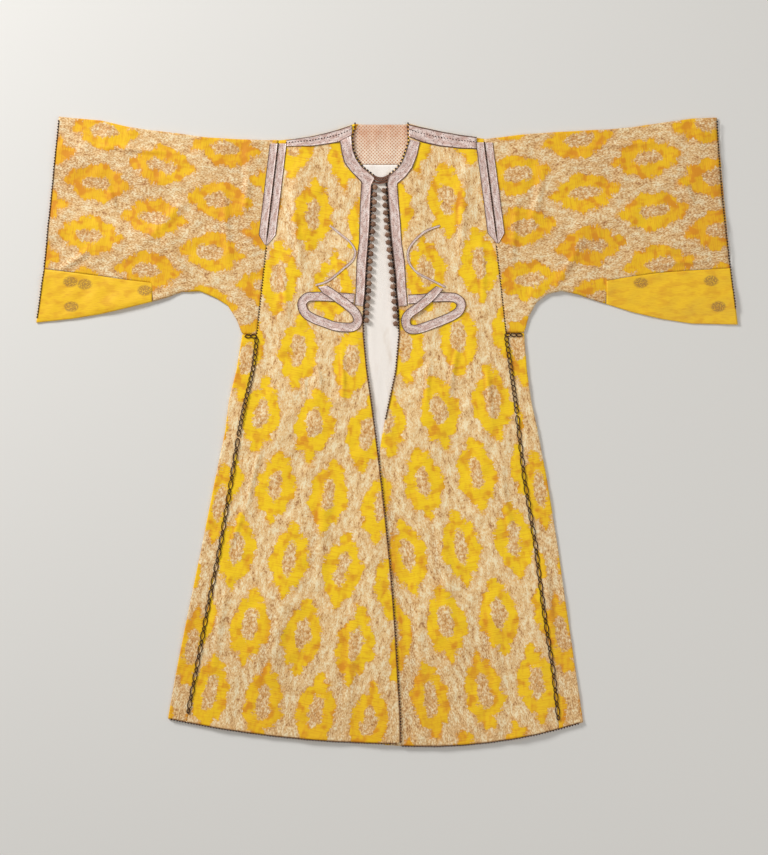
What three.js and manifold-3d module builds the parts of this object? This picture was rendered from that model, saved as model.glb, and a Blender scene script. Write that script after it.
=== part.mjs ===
// A Moroccan kaftan in brocaded silk, laid out flat and face up on a surface.
// Millimetres. +Z is up from the surface, +Y towards the neck, and +X towards the wearer's left sleeve.
// The origin is on the surface, under the middle of the garment.
// Every outline is given as "out", the distance from the centre line towards that side's sleeve, so a
// negative value has crossed the centre line.
import * as THREE from "three";
import { mergeVertices } from "three/addons/utils/BufferGeometryUtils.js";
import Module from "manifold-3d";

// Driving dimensions: the walls, and the heights at which the layers lie on each other.
const CLOTH = 1.5;
const LINING = 1.0;
const GALLOON = 0.9;
const GAP = 0.3;
const BACK_TOP = CLOTH;
const LINING_UNDER = BACK_TOP + GAP;
const LINING_TOP = LINING_UNDER + LINING;
const FRONT_UNDER = LINING_TOP + GAP;
const FRONT_TOP = FRONT_UNDER + CLOTH;
const TRIM_UNDER = FRONT_TOP + GAP;
const LAP_LIFT = CLOTH + GAP;
const SEAM_DROP = FRONT_UNDER - LINING_UNDER;

// Driving dimensions: the trims.
const RIBBON_WIDTH = 20;
const CORD_WIDTH = 4.5;
const BRAID_WIDTH = 8;
const EDGING_WIDTH = 5;
const BINDING_WIDTH = 2;
const KNOT_RADIUS = 5.8;
const KNOT_HEIGHT = 8.5;
const KNOT_PITCH = 15.5;

// The two sides of the garment lie a little differently on the surface, so each has its own tables.
const SIDES = {
  right: {
    sign: -1,
    laps: true,
    // Skirt sections from the underarm to the hem: the folded side, the gore seam and the front edge.
    skirt: [
      { y: 203.7, side: 304, seam: 273, edge: 49 },
      { y: 130, side: 316, seam: 281, edge: 42 },
      { y: 66, side: 332, seam: 296, edge: 33 },
      { y: 0, side: 340, seam: 310, edge: 24 },
      { y: -100, side: 361, seam: 326, edge: 12 },
      { y: -236, side: 388, seam: 349, edge: -3 },
      { y: -371, side: 416, seam: 376, edge: -15 },
      { y: -505, side: 443, seam: 401, edge: -23 },
      { y: -602, side: 460, seam: 420, edge: -29 },
    ],
    hem: { lowOut: -29, lowY: -655, rise: 2.2e-4 },
    armhole: { topOut: 228, topY: 611, bow: -7 },
    // The cut edge of the front from the shoulder round the neck and down to the widest of the opening.
    neck: [
      { out: 67, y: 646 },
      { out: 68, y: 639 },
      { out: 72, y: 616 },
      { out: 70, y: 592 },
      { out: 63, y: 573 },
      { out: 50, y: 555 },
      { out: 33, y: 542 },
      { out: 23, y: 533 },
      { out: 31, y: 517 },
      { out: 33, y: 478 },
      { out: 35, y: 434 },
      { out: 38, y: 395 },
      { out: 41, y: 358 },
      { out: 43, y: 325 },
      { out: 45, y: 288 },
      { out: 48, y: 262 },
      { out: 49, y: 234 },
    ],
    // The outer line of the galloon round the neck and down the front, one row for each neck row from
    // the third to the last but one.
    bandOut: [
      { out: 98, y: 602 },
      { out: 95, y: 582 },
      { out: 89, y: 562 },
      { out: 76, y: 545 },
      { out: 62, y: 531 },
      { out: 54, y: 523 },
      { out: 55, y: 508 },
      { out: 57, y: 476 },
      { out: 58, y: 434 },
      { out: 59, y: 395 },
      { out: 64, y: 358 },
      { out: 65, y: 325 },
      { out: 66, y: 290 },
      { out: 68.4, y: 265 },
    ],
    // Sleeve sections from the armhole to the cuff: the fold along the top, and the lower edge.
    sleeve: [
      { topOut: 228.3, topY: 612, lowOut: 273.3, lowY: 204 },
      { topOut: 262, topY: 612, lowOut: 304, lowY: 204 },
      { topOut: 290, topY: 613, lowOut: 315, lowY: 234 },
      { topOut: 320, topY: 614, lowOut: 334, lowY: 264 },
      { topOut: 352, topY: 616, lowOut: 359, lowY: 280 },
      { topOut: 384, topY: 618, lowOut: 392, lowY: 294 },
      { topOut: 424, topY: 624, lowOut: 430, lowY: 293 },
      { topOut: 458, topY: 628, lowOut: 460, lowY: 282 },
      { topOut: 491, topY: 632, lowOut: 491, lowY: 273 },
      { topOut: 492, topY: 632, lowOut: 492, lowY: 312 },
      { topOut: 544, topY: 640, lowOut: 544, lowY: 318 },
      { topOut: 600, topY: 653, lowOut: 600, lowY: 326 },
      { topOut: 655, topY: 658, lowOut: 655, lowY: 333 },
      { topOut: 688, topY: 661, lowOut: 720, lowY: 341 },
    ],
    bulge: 0,
    // The sections of the piece let in under the sleeve: its seam, the step in it, and its folded edge.
    gusset: [
      { seamOut: 492.4, seamY: 311.7, stepY: 280, lowOut: 492.4, lowY: 272 },
      { seamOut: 544, seamY: 317.7, stepY: 267, lowOut: 544, lowY: 259 },
      { seamOut: 600, seamY: 325.7, stepY: 254, lowOut: 600, lowY: 246 },
      { seamOut: 655, seamY: 332.7, stepY: 244, lowOut: 661, lowY: 236 },
      { seamOut: 720, seamY: 340.7, stepY: 236, lowOut: 736, lowY: 228 },
    ],
    // The route of the ribbon: out along the top of the oval, back below it, then up across itself.
    ribbon: [
      [69, 279], [105, 282], [149, 283], [168, 281], [178, 269], [172, 249], [154, 237], [132, 228.5],
      [110, 221], [88, 218.5], [71, 219.5], [62, 228], [62, 240], [69, 252], [83, 265], [98, 276],
      [116, 289], [130, 298],
    ],
    ribbonTip: [[125, 306], [146, 303]],
    cord: [
      [150, 307], [136, 311], [122, 317], [92, 341], [71, 361], [67, 378], [76, 395], [98, 414],
      [120, 432],
    ],
    shoulderBand: [
      { out: 205, low: 598, high: 613 },
      { out: 158, low: 598, high: 620 },
      { out: 128, low: 602, high: 627 },
      { out: 102, low: 606, high: 634 },
      { out: 76, low: 620, high: 643 },
    ],
    armholeBand: { topOut: 228, topY: 604, tipOut: 254, tipY: 388 },
    firstKnot: 512,
  },
  left: {
    sign: 1,
    laps: false,
    skirt: [
      { y: 206.7, side: 288, seam: 250, edge: 25 },
      { y: 130, side: 294, seam: 260, edge: 18.5 },
      { y: 66, side: 303, seam: 269, edge: 5 },
      { y: 0, side: 317, seam: 276.5, edge: -9.5 },
      { y: -100, side: 336, seam: 288, edge: -23 },
      { y: -236, side: 358, seam: 311, edge: -20 },
      { y: -371, side: 377, seam: 328, edge: -15 },
      { y: -505, side: 397, seam: 349, edge: -9 },
      { y: -606, side: 412, seam: 361, edge: -5 },
    ],
    hem: { lowOut: 85, lowY: -661, rise: 4.8e-4 },
    armhole: { topOut: 204, topY: 614, bow: -3 },
    neck: [
      { out: 44, y: 646 },
      { out: 44, y: 639 },
      { out: 44, y: 606 },
      { out: 36, y: 582 },
      { out: 29, y: 564 },
      { out: 17, y: 550 },
      { out: 8, y: 543 },
      { out: 1, y: 536 },
      { out: -1, y: 517 },
      { out: 2, y: 478 },
      { out: 5, y: 434 },
      { out: 9, y: 395 },
      { out: 13, y: 358 },
      { out: 17, y: 325 },
      { out: 19, y: 291 },
      { out: 22, y: 262 },
      { out: 24, y: 234 },
    ],
    bandOut: [
      { out: 68, y: 600 },
      { out: 64, y: 580 },
      { out: 54, y: 554 },
      { out: 40, y: 534 },
      { out: 30, y: 526 },
      { out: 22, y: 520 },
      { out: 22.5, y: 508 },
      { out: 25, y: 476 },
      { out: 29, y: 434 },
      { out: 31, y: 395 },
      { out: 37, y: 358 },
      { out: 39, y: 325 },
      { out: 41, y: 290 },
      { out: 43.4, y: 264 },
    ],
    sleeve: [
      { topOut: 204.3, topY: 614, lowOut: 250.3, lowY: 207 },
      { topOut: 240, topY: 618, lowOut: 288, lowY: 207 },
      { topOut: 270, topY: 622, lowOut: 297, lowY: 240 },
      { topOut: 300, topY: 625, lowOut: 313, lowY: 270 },
      { topOut: 330, topY: 627, lowOut: 338, lowY: 289 },
      { topOut: 360, topY: 629, lowOut: 366, lowY: 295 },
      { topOut: 400, topY: 631, lowOut: 402, lowY: 287 },
      { topOut: 430, topY: 633, lowOut: 430, lowY: 277 },
      { topOut: 459, topY: 634, lowOut: 459, lowY: 268 },
      { topOut: 460, topY: 634, lowOut: 460, lowY: 316 },
      { topOut: 515, topY: 639, lowOut: 510, lowY: 325 },
      { topOut: 575, topY: 648, lowOut: 570, lowY: 333 },
      { topOut: 640, topY: 657, lowOut: 635, lowY: 338 },
      { topOut: 692, topY: 659, lowOut: 721, lowY: 343 },
    ],
    bulge: -3.5,
    gusset: [
      { seamOut: 460.4, seamY: 315.7, stepY: 300, lowOut: 460.4, lowY: 267 },
      { seamOut: 510, seamY: 324.7, stepY: 276, lowOut: 515, lowY: 250 },
      { seamOut: 570, seamY: 332.7, stepY: 260, lowOut: 575, lowY: 236 },
      { seamOut: 635, seamY: 337.7, stepY: 252, lowOut: 640, lowY: 226 },
      { seamOut: 721, seamY: 342.7, stepY: 253, lowOut: 736, lowY: 224 },
    ],
    ribbon: [
      [44, 277], [72, 278.5], [98, 281], [125, 282], [144, 279.5], [155, 269], [152, 254], [138, 243],
      [120, 234.5], [98, 226], [76, 218], [60, 214], [46, 216], [40, 226], [40, 237], [48, 248],
      [65, 260], [81, 273], [94, 285],
    ],
    ribbonTip: [[103, 305], [118, 298]],
    cord: [
      [122, 303], [108, 310], [90, 319], [62, 334], [46, 355], [44, 377], [56, 398], [81, 420],
      [111, 432],
    ],
    shoulderBand: [
      { out: 182, low: 592, high: 619 },
      { out: 153, low: 593, high: 623 },
      { out: 111, low: 598, high: 631 },
      { out: 74, low: 606, high: 639 },
      { out: 49, low: 616, high: 644 },
    ],
    armholeBand: { topOut: 204, topY: 606, tipOut: 232, tipY: 392 },
    firstKnot: 505,
  },
};

// The largest soft folds of each front, each a low ridge between two ends, clear of seams and trims.
const FOLDS = {
  right: [
    { fromOut: 178, fromY: 585, toOut: 192, toY: 330, half: 30, height: 3 },
    { fromOut: 150, fromY: 190, toOut: 130, toY: -60, half: 50, height: 4 },
    { fromOut: 215, fromY: 150, toOut: 270, toY: -240, half: 44, height: 4 },
    { fromOut: 190, fromY: -150, toOut: 290, toY: -580, half: 60, height: 5 },
    { fromOut: 120, fromY: -190, toOut: 120, toY: -590, half: 50, height: 3.5 },
  ],
  left: [
    { fromOut: 150, fromY: 580, toOut: 165, toY: 330, half: 30, height: 3 },
    { fromOut: 110, fromY: 180, toOut: 90, toY: -120, half: 50, height: 4 },
    { fromOut: 200, fromY: 170, toOut: 240, toY: -260, half: 45, height: 4 },
    { fromOut: 110, fromY: -220, toOut: 150, toY: -600, half: 55, height: 4.5 },
    { fromOut: 240, fromY: -330, toOut: 275, toY: -600, half: 50, height: 3.5 },
  ],
};

// The largest soft folds of each sleeve.
const SLEEVE_FOLDS = {
  right: [
    { fromOut: 540, fromY: 430, toOut: 390, toY: 330, half: 40, height: 5 },
    { fromOut: 620, fromY: 560, toOut: 330, toY: 520, half: 45, height: 3 },
  ],
  left: [
    { fromOut: 330, fromY: 340, toOut: 480, toY: 470, half: 45, height: 4 },
    { fromOut: 340, fromY: 560, toOut: 640, toY: 540, half: 45, height: 3 },
  ],
};

// Cloth and trim finishes.
const FINISH = {
  brocade: { color: "#e6bb55", roughness: 0.55, metalness: 0.15 },
  plainSilk: { color: "#f0bd3c", roughness: 0.6, metalness: 0.0 },
  cotton: { color: "#f5eddf", roughness: 0.9, metalness: 0.0 },
  print: { color: "#e2b998", roughness: 0.9, metalness: 0.0 },
  galloon: { color: "#cfb0a4", roughness: 0.45, metalness: 0.3 },
  darkCord: { color: "#3a221b", roughness: 0.7, metalness: 0.0 },
  knot: { color: "#75593f", roughness: 0.65, metalness: 0.0 },
};

const wasm = await Module();
wasm.setup();
const garment = new THREE.Group();
garment.name = "moroccan_kaftan";

function piece(name, geometry, finish) {
  const mesh = new THREE.Mesh(geometry, new THREE.MeshStandardMaterial(FINISH[finish]));
  mesh.name = name;
  garment.add(mesh);
}

// The value of a column at y, on straight lines between the rows of a table that runs downwards.
function columnAt(rows, column, y) {
  const below = rows.findIndex((row, i) => i > 0 && row.y <= y);
  const i = below < 0 ? rows.length - 1 : below;
  const t = THREE.MathUtils.clamp((rows[i - 1].y - y) / (rows[i - 1].y - rows[i].y), 0, 1);
  return THREE.MathUtils.lerp(rows[i - 1][column], rows[i][column], t);
}

// The hem is a shallow parabola, lowest near the centre of the garment.
function hemY(side, out) {
  return side.hem.lowY + side.hem.rise * (out - side.hem.lowOut) ** 2;
}

// The last row of a skirt's table is where its gore seam meets the hem.
for (const side of Object.values(SIDES)) side.skirt.at(-1).y = hemY(side, side.skirt.at(-1).seam);

// The height that a table of folds adds at a point: across each fold a raised cosine, fading at its ends.
function foldHeight(folds, out, y) {
  let height = 0;
  for (const fold of folds) {
    const along = new THREE.Vector2(fold.toOut - fold.fromOut, fold.toY - fold.fromY);
    const offset = new THREE.Vector2(out - fold.fromOut, y - fold.fromY);
    const t = offset.dot(along) / along.lengthSq();
    const across = Math.abs(offset.cross(along)) / along.length() / fold.half;
    if (t <= 0 || t >= 1 || across >= 1) continue;
    height += fold.height * Math.sin(Math.PI * t) * Math.cos((Math.PI / 2) * across) ** 2;
  }
  return height;
}

// A closed wall between two grids of points that have the same rows and columns.
function wall(outer, inner) {
  const rows = outer.length;
  const columns = outer[0].length;
  const position = [...outer, ...inner].flat().flatMap((p) => [p.x, p.y, p.z]);
  const index = [];
  const at = (grid, row, column) => grid * rows * columns + row * columns + column;
  const quad = (a, b, c, d) => index.push(a, b, c, a, c, d);
  for (let r = 0; r + 1 < rows; r++)
    for (let c = 0; c + 1 < columns; c++) {
      quad(at(0, r, c), at(0, r, c + 1), at(0, r + 1, c + 1), at(0, r + 1, c));
      quad(at(1, r, c), at(1, r + 1, c), at(1, r + 1, c + 1), at(1, r, c + 1));
    }
  for (let r = 0; r + 1 < rows; r++) {
    quad(at(0, r, 0), at(0, r + 1, 0), at(1, r + 1, 0), at(1, r, 0));
    const last = columns - 1;
    quad(at(0, r + 1, last), at(0, r, last), at(1, r, last), at(1, r + 1, last));
  }
  for (let c = 0; c + 1 < columns; c++) {
    quad(at(0, 0, c + 1), at(0, 0, c), at(1, 0, c), at(1, 0, c + 1));
    const last = rows - 1;
    quad(at(0, last, c), at(0, last, c + 1), at(1, last, c + 1), at(1, last, c));
  }
  const volume = signedVolume(position, index);
  if (volume < 0) index.reverse();
  const geometry = new THREE.BufferGeometry();
  geometry.setAttribute("position", new THREE.Float32BufferAttribute(position, 3));
  geometry.setIndex(index);
  return geometry;
}

// Six times the volume that a list of triangles encloses, negative when they face inwards.
function signedVolume(position, index) {
  const corner = (i) => new THREE.Vector3().fromArray(position, index[i] * 3);
  let sum = 0;
  for (let i = 0; i < index.length; i += 3)
    sum += corner(i).dot(corner(i + 1).cross(corner(i + 2)));
  return sum;
}

// A flat plate of cloth with the outline given as [out, y] corners.
function plate(sign, outline, under, thickness) {
  const shape = new THREE.Shape(outline.map(([out, y]) => new THREE.Vector2(sign * out, y)));
  const geometry = new THREE.ExtrudeGeometry(shape, { depth: thickness, bevelEnabled: false });
  return geometry.translate(0, 0, under);
}

// A flat strip between two rows of points, each with its own height above the surface.
function strip(sign, stations, thickness) {
  const lift = (p, extra) => new THREE.Vector3(sign * p.out, p.y, p.z + extra);
  const top = stations.map(({ a, b }) => [lift(a, thickness), lift(b, thickness)]);
  const under = stations.map(({ a, b }) => [lift(a, 0), lift(b, 0)]);
  return wall(top, under);
}

// The stations of a strip of even width along a smooth route of [out, y] points.
function alongRoute(route, width, heightAt, steps) {
  const points = route.map(([out, y]) => new THREE.Vector3(out, y, 0));
  const curve = new THREE.CatmullRomCurve3(points, false, "centripetal");
  const half = width / 2;
  return Array.from({ length: steps + 1 }, (_, i) => {
    const p = curve.getPointAt(i / steps);
    const along = curve.getTangentAt(i / steps);
    const z = heightAt(i / steps);
    return {
      a: { out: p.x - along.y * half, y: p.y + along.x * half, z },
      b: { out: p.x + along.y * half, y: p.y - along.x * half, z },
    };
  });
}

// A front is raised where it laps over the other one: fully up to a first distance from its front
// edge, and no more from a second. The lift starts at the top of the lap and is whole at y = 0.
const LAP_WHOLE = 50;
const LAP_REACH = 90;
const LAP_TOP = 66;

function lapLift(side, out, y) {
  if (!side.laps) return 0;
  const fromEdge = out - columnAt(side.skirt, "edge", y);
  const across = THREE.MathUtils.clamp((LAP_REACH - fromEdge) / (LAP_REACH - LAP_WHOLE), 0, 1);
  const along = THREE.MathUtils.clamp((LAP_TOP - y) / LAP_TOP, 0, 1);
  return LAP_LIFT * across * along;
}

// The top of the front at a point: the flat layer, the lap and the soft folds.
function frontTop(name, out, y) {
  return FRONT_TOP + lapLift(SIDES[name], out, y) + foldHeight(FOLDS[name], out, y);
}

// A front panel is a grid of rows, from the shoulder to the hem, between the armhole or gore seam and
// the neck or front edge. Its shoulder row drops to meet the back at the shoulder seam.
const FRONT_COLUMNS = [0, 0.14, 0.28, 0.42, 0.56, 0.7, 0.82];
const EDGE_SHARE = 0.12;
const HEM_SLOPE = 45;
const SHOULDER_ROLL = 7;
const BOWED_ROWS = 3;

// The heights of the skirt's rows: those of its table, with one more half way between each two.
function skirtLevels(side) {
  const levels = side.skirt.map((row) => row.y);
  return levels.flatMap((y, i) => (i ? [(levels[i - 1] + y) / 2, y] : [y]));
}

function frontRows(side) {
  const underarm = side.skirt[0];
  const rows = side.neck.map((edge, i) => {
    const depth = side.armhole.topY - underarm.y;
    const fall = i === 1 ? SHOULDER_ROLL : (depth * i) / side.neck.length;
    const seamOut = THREE.MathUtils.lerp(side.armhole.topOut, underarm.seam, fall / depth);
    const bow = side.armhole.bow * Math.max(0, 1 - i / BOWED_ROWS);
    return {
      seamOut, seamY: side.armhole.topY - fall, edgeOut: edge.out, edgeY: edge.y, bow, drop: i === 0,
    };
  });
  const last = side.skirt.at(-1);
  for (const y of skirtLevels(side)) {
    const hem = y === last.y;
    const t = (underarm.y - y) / (underarm.y - last.y);
    const edgeY = hem ? hemY(side, last.edge) : y - HEM_SLOPE * t;
    rows.push({
      seamOut: columnAt(side.skirt, "seam", y),
      seamY: hem ? hemY(side, last.seam) : y,
      edgeOut: columnAt(side.skirt, "edge", edgeY),
      edgeY, hem, bow: 0, drop: false,
    });
  }
  return rows;
}

// The outs of a row's points: even fractions of its width, then two held near the front edge.
function rowOuts(row) {
  const outs = FRONT_COLUMNS.map((u) => THREE.MathUtils.lerp(row.seamOut, row.edgeOut, u));
  const width = row.seamOut - row.edgeOut;
  return [...outs, row.edgeOut + Math.min(LAP_WHOLE, width * EDGE_SHARE), row.edgeOut];
}

function frontGrid(name) {
  const side = SIDES[name];
  return frontRows(side).map((row) =>
    rowOuts(row).map((out) => {
      const u = (row.seamOut - out) / (row.seamOut - row.edgeOut);
      const level = THREE.MathUtils.lerp(row.seamY, row.edgeY, u) + row.bow * 4 * u * (1 - u);
      const y = row.hem ? hemY(side, out) : level;
      const top = frontTop(name, out, y) - (row.drop ? SEAM_DROP : 0);
      return new THREE.Vector3(side.sign * out, y, top);
    }));
}

function frontPanel(name) {
  const top = frontGrid(name);
  const under = top.map((row) => row.map((p) => new THREE.Vector3(p.x, p.y, p.z - CLOTH)));
  return wall(top, under);
}

// The section of cloth folded flat on itself, as [reach, z] pairs: along the front layer to the fold,
// half round it, and back along the back layer. Reach is measured back from the fold. The inner and
// outer faces turn about the same line, half way up.
const FOLD_STEPS = 3;

function foldedSection(reaches, outside) {
  const radius = outside ? FRONT_TOP / 2 : (FRONT_UNDER - BACK_TOP) / 2;
  const top = outside ? FRONT_TOP : FRONT_UNDER;
  const under = outside ? 0 : BACK_TOP;
  const turn = [];
  for (let i = 0; i <= FOLD_STEPS; i++) {
    const angle = Math.PI / 2 - (Math.PI * i) / FOLD_STEPS;
    turn.push([FRONT_TOP / 2 - radius * Math.cos(angle), FRONT_TOP / 2 + radius * Math.sin(angle)]);
  }
  return [...reaches.map((reach) => [reach, top]), ...turn, [reaches[0], under]];
}

// A gore is a strip folded down its middle: half of it shows beside the front, half lies beside the back.
function gore(name) {
  const side = SIDES[name];
  const last = side.skirt.length - 1;
  const grid = (outside) => side.skirt.map((row, i) => {
    const seam = row.seam + GAP;
    return foldedSection([row.side - seam], outside).map(([reach, z]) => {
      const out = row.side - reach;
      const y = i === last ? hemY(side, out) : row.y - (i === 0 ? GAP : 0);
      return new THREE.Vector3(side.sign * out, y, z);
    });
  });
  return wall(grid(true), grid(false));
}

// A sleeve is folded along its top. Up to its gusset its two layers meet in a seam below, where the
// front layer drops to the back one, and beyond that the gusset closes it.
const SLEEVE_COLUMNS = [0, 0.022, 0.17, 0.33, 0.5, 0.67, 0.83];

function sleeve(name) {
  const side = SIDES[name];
  const gussetStart = side.gusset[0].lowOut;
  const grid = (outside) => side.sleeve.map((row) => {
    const reachLow = row.topY - row.lowY;
    const reaches = SLEEVE_COLUMNS.map((u) => reachLow * (1 - u));
    return foldedSection(reaches, outside).map(([reach, z], i) => {
      const u = 1 - reach / reachLow;
      const bulge = side.bulge * 4 * u * (1 - u) * (row === side.sleeve.at(-1) ? 1 : 0);
      const out = THREE.MathUtils.lerp(row.lowOut, row.topOut, u) + bulge;
      const y = row.topY - reach;
      const front = i < SLEEVE_COLUMNS.length;
      const drop = i === 0 && row.lowOut < gussetStart ? SEAM_DROP : 0;
      const fold = front ? foldHeight(SLEEVE_FOLDS[name], out, y) : 0;
      return new THREE.Vector3(side.sign * out, y, z + fold - drop);
    });
  });
  return wall(grid(true), grid(false));
}

// The gusset under a sleeve is folded along its lower edge, with a step in its front layer above it.
const STEP_RUN = 6;
const STEP_DROP = 1.2;

function gusset(name) {
  const side = SIDES[name];
  const grid = (outside) => side.gusset.map((row) => {
    const full = row.seamY - row.lowY;
    const step = row.stepY - row.lowY;
    const turnZ = (FRONT_TOP - STEP_DROP) / 2;
    const radius = outside ? turnZ : turnZ - CLOTH;
    const top = outside ? FRONT_TOP : FRONT_UNDER;
    const section = [[full, top], [step, top], [step - STEP_RUN, top - STEP_DROP]];
    for (let i = 0; i <= FOLD_STEPS; i++) {
      const angle = Math.PI / 2 - (Math.PI * i) / FOLD_STEPS;
      section.push([turnZ - radius * Math.cos(angle), turnZ + radius * Math.sin(angle)]);
    }
    section.push([full, outside ? 0 : BACK_TOP]);
    return section.map(([reach, z]) => {
      const out = THREE.MathUtils.lerp(row.lowOut, row.seamOut, reach / full);
      return new THREE.Vector3(side.sign * out, row.lowY + reach, z);
    });
  });
  return wall(grid(true), grid(false));
}

// The back lies flat on the surface under everything, between its armholes, gore seams and hem.
const HEM_POINTS = 9;
const NECK_DIP = [[38, 641], [17, 638], [-6, 638], [-34, 643]];

function backOutline(side) {
  const shoulder = frontRows(side)[0];
  const points = [[shoulder.edgeOut, shoulder.edgeY]];
  for (const u of [0.33, 0.67, 1]) {
    const t = 1 - u;
    points.push([
      THREE.MathUtils.lerp(shoulder.seamOut, shoulder.edgeOut, t),
      THREE.MathUtils.lerp(shoulder.seamY, shoulder.edgeY, t) + shoulder.bow * 4 * t * (1 - t),
    ]);
  }
  for (const row of side.skirt.slice(0, -1)) points.push([row.seam, row.y]);
  for (let i = 0; i < HEM_POINTS; i++) {
    const out = THREE.MathUtils.lerp(side.skirt.at(-1).seam, 0, i / HEM_POINTS);
    points.push([out, hemY(side, out)]);
  }
  return points;
}

function back() {
  const right = backOutline(SIDES.right).map(([out, y]) => [-out, y]);
  const left = backOutline(SIDES.left);
  const dip = NECK_DIP.map(([out, y]) => [-out, y]).reverse();
  return plate(1, [...right, ...left.reverse(), ...dip], 0, CLOTH);
}

// The strip of galloon round the neck and down the front, which turns out at its foot. It starts at
// the third row of the neck, and leaves room beside it for the narrow binding of the cut edge.
const BAND_START = 2;
const BAND_INSET = BINDING_WIDTH + 4 * GAP;

function frontBand(name) {
  const side = SIDES[name];
  const inner = side.neck.slice(BAND_START, BAND_START + side.bandOut.length);
  const stations = side.bandOut.map((outer, i) => {
    const edge = inner[i];
    const toOuter = new THREE.Vector2(outer.out - edge.out, outer.y - edge.y).normalize();
    return {
      a: {
        out: edge.out + toOuter.x * BAND_INSET,
        y: edge.y + toOuter.y * BAND_INSET,
        z: TRIM_UNDER,
      },
      b: { out: outer.out, y: outer.y, z: TRIM_UNDER },
    };
  });
  return strip(side.sign, stations, GALLOON);
}

// The looped ribbon rises over itself where it crosses its own start, and ends in a slanted tip.
const RIBBON_STEPS = 34;
const RIBBON_RISE = { from: 0.66, to: 0.73, height: GALLOON + GAP };

function ribbonLoop(name) {
  const side = SIDES[name];
  const risen = (t) =>
    THREE.MathUtils.clamp((t - RIBBON_RISE.from) / (RIBBON_RISE.to - RIBBON_RISE.from), 0, 1);
  const heightAt = (t) => TRIM_UNDER + RIBBON_RISE.height * risen(t);
  const loop = alongRoute(side.ribbon, RIBBON_WIDTH, heightAt, RIBBON_STEPS);
  const [a, b] = side.ribbonTip.map(([out, y]) => ({ out, y, z: heightAt(1) }));
  return strip(side.sign, [...loop, { a, b }], GALLOON);
}

// A thin flat cord runs from the tip of the ribbon in an S up the chest.
const CORD_STEPS = 20;

function cord(name) {
  const side = SIDES[name];
  return strip(side.sign, alongRoute(side.cord, CORD_WIDTH, () => TRIM_UNDER, CORD_STEPS), GALLOON);
}

// Two widths of galloon side by side cover the armhole seam, and end in one point below.
const ARMHOLE_HALF_WIDTH = 18;
const ARMHOLE_POINT = 24;

function armholeBand(name) {
  const { sign, armholeBand: band } = SIDES[name];
  const lean = (band.tipOut - band.topOut) / (band.topY - band.tipY);
  const outAt = (y) => band.topOut + lean * (band.topY - y);
  const shoulderY = band.tipY + ARMHOLE_POINT;
  const outline = [
    [band.topOut - ARMHOLE_HALF_WIDTH, band.topY],
    [outAt(shoulderY) - ARMHOLE_HALF_WIDTH, shoulderY],
    [band.tipOut, band.tipY],
    [outAt(shoulderY) + ARMHOLE_HALF_WIDTH, shoulderY],
    [band.topOut + ARMHOLE_HALF_WIDTH, band.topY],
  ];
  return plate(sign, outline, TRIM_UNDER, GALLOON);
}

// Galloon along the shoulder, between the armhole band and the neck galloon, just below the seam.
const SHOULDER_INSET = 1;

function shoulderBand(name) {
  const side = SIDES[name];
  const stations = side.shoulderBand.map(({ out, low, high }) => ({
    a: { out, y: low, z: TRIM_UNDER },
    b: { out, y: high - SHOULDER_INSET, z: TRIM_UNDER },
  }));
  return strip(side.sign, stations, GALLOON);
}

// The dark braid down the gore seam, from just below the underarm braid to just above the hem edging.
const TRIM_CLEAR = 2.4;

function sideBraid(name) {
  const side = SIDES[name];
  const last = side.skirt.at(-1);
  const top = side.skirt[0].y - BRAID_WIDTH;
  const foot = hemY(side, last.seam) + EDGING_WIDTH + TRIM_CLEAR;
  const middle = side.skirt.slice(1, -1).map((row) => [row.seam, row.y]);
  const route = [[side.skirt[0].seam, top], ...middle, [last.seam, foot]];
  const stations = route.map(([out, y]) => ({
    a: { out: out + BRAID_WIDTH / 2, y, z: TRIM_UNDER },
    b: { out: out - BRAID_WIDTH / 2, y, z: TRIM_UNDER },
  }));
  return strip(side.sign, stations, GALLOON);
}

// A short braid across the underarm seam, at the top of the gore.
function underarmBraid(name) {
  const side = SIDES[name];
  const { seam, side: fold, y } = side.skirt[0];
  const inner = seam - BRAID_WIDTH / 2;
  const outer = fold - EDGING_WIDTH;
  const top = y - 2 * GAP;
  const under = y - BRAID_WIDTH + 2 * GAP;
  const outline = [[inner, top], [outer, top], [outer, under], [inner, under]];
  return plate(side.sign, outline, TRIM_UNDER, GALLOON);
}

// The edging is a narrow braid laid on the front along its cut edge, made from the front's own points.
// It starts just below the point of the neck, as a narrow binding beside the galloon, and widens below
// the galloon's foot. On the front that lies underneath it ends where the other front covers it.
const EDGING_START = 8;
const EDGING_FOOT = 10;
const BINDING_FOOT = 260;

function frontEdging(name) {
  const side = SIDES[name];
  const rows = frontRows(side);
  const stations = rows.slice(EDGING_START).flatMap((row) => {
    const z = frontTop(name, row.edgeOut, row.edgeY) + GAP;
    const y = row.hem ? row.edgeY + GAP : row.edgeY;
    if (!side.laps && y < EDGING_FOOT) return [];
    const inner = { out: row.edgeOut + GAP, y, z };
    const width = y > BINDING_FOOT ? BINDING_WIDTH : EDGING_WIDTH;
    return [{ a: inner, b: { ...inner, out: row.edgeOut + GAP + width } }];
  });
  return strip(side.sign, stations, GALLOON);
}

// The edging along the hem runs from the folded side to the front edging, or on the front underneath
// to where the other front covers its hem.
const UNDERLAP = 31;

function hemEdging(name) {
  const side = SIDES[name];
  const row = frontRows(side).at(-1);
  const inner = row.edgeOut + EDGING_WIDTH + 2 * GAP;
  const shown = side.laps ? inner : UNDERLAP;
  const onFront = rowOuts(row).filter((out) => out > shown);
  const outs = [side.skirt.at(-1).side - EDGING_WIDTH, ...onFront, shown];
  const stations = outs.map((out) => {
    const foot = hemY(side, out) + GAP;
    const z = frontTop(name, out, foot) + GAP;
    return { a: { out, y: foot, z }, b: { out, y: foot + EDGING_WIDTH, z } };
  });
  return strip(side.sign, stations, GALLOON);
}

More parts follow.
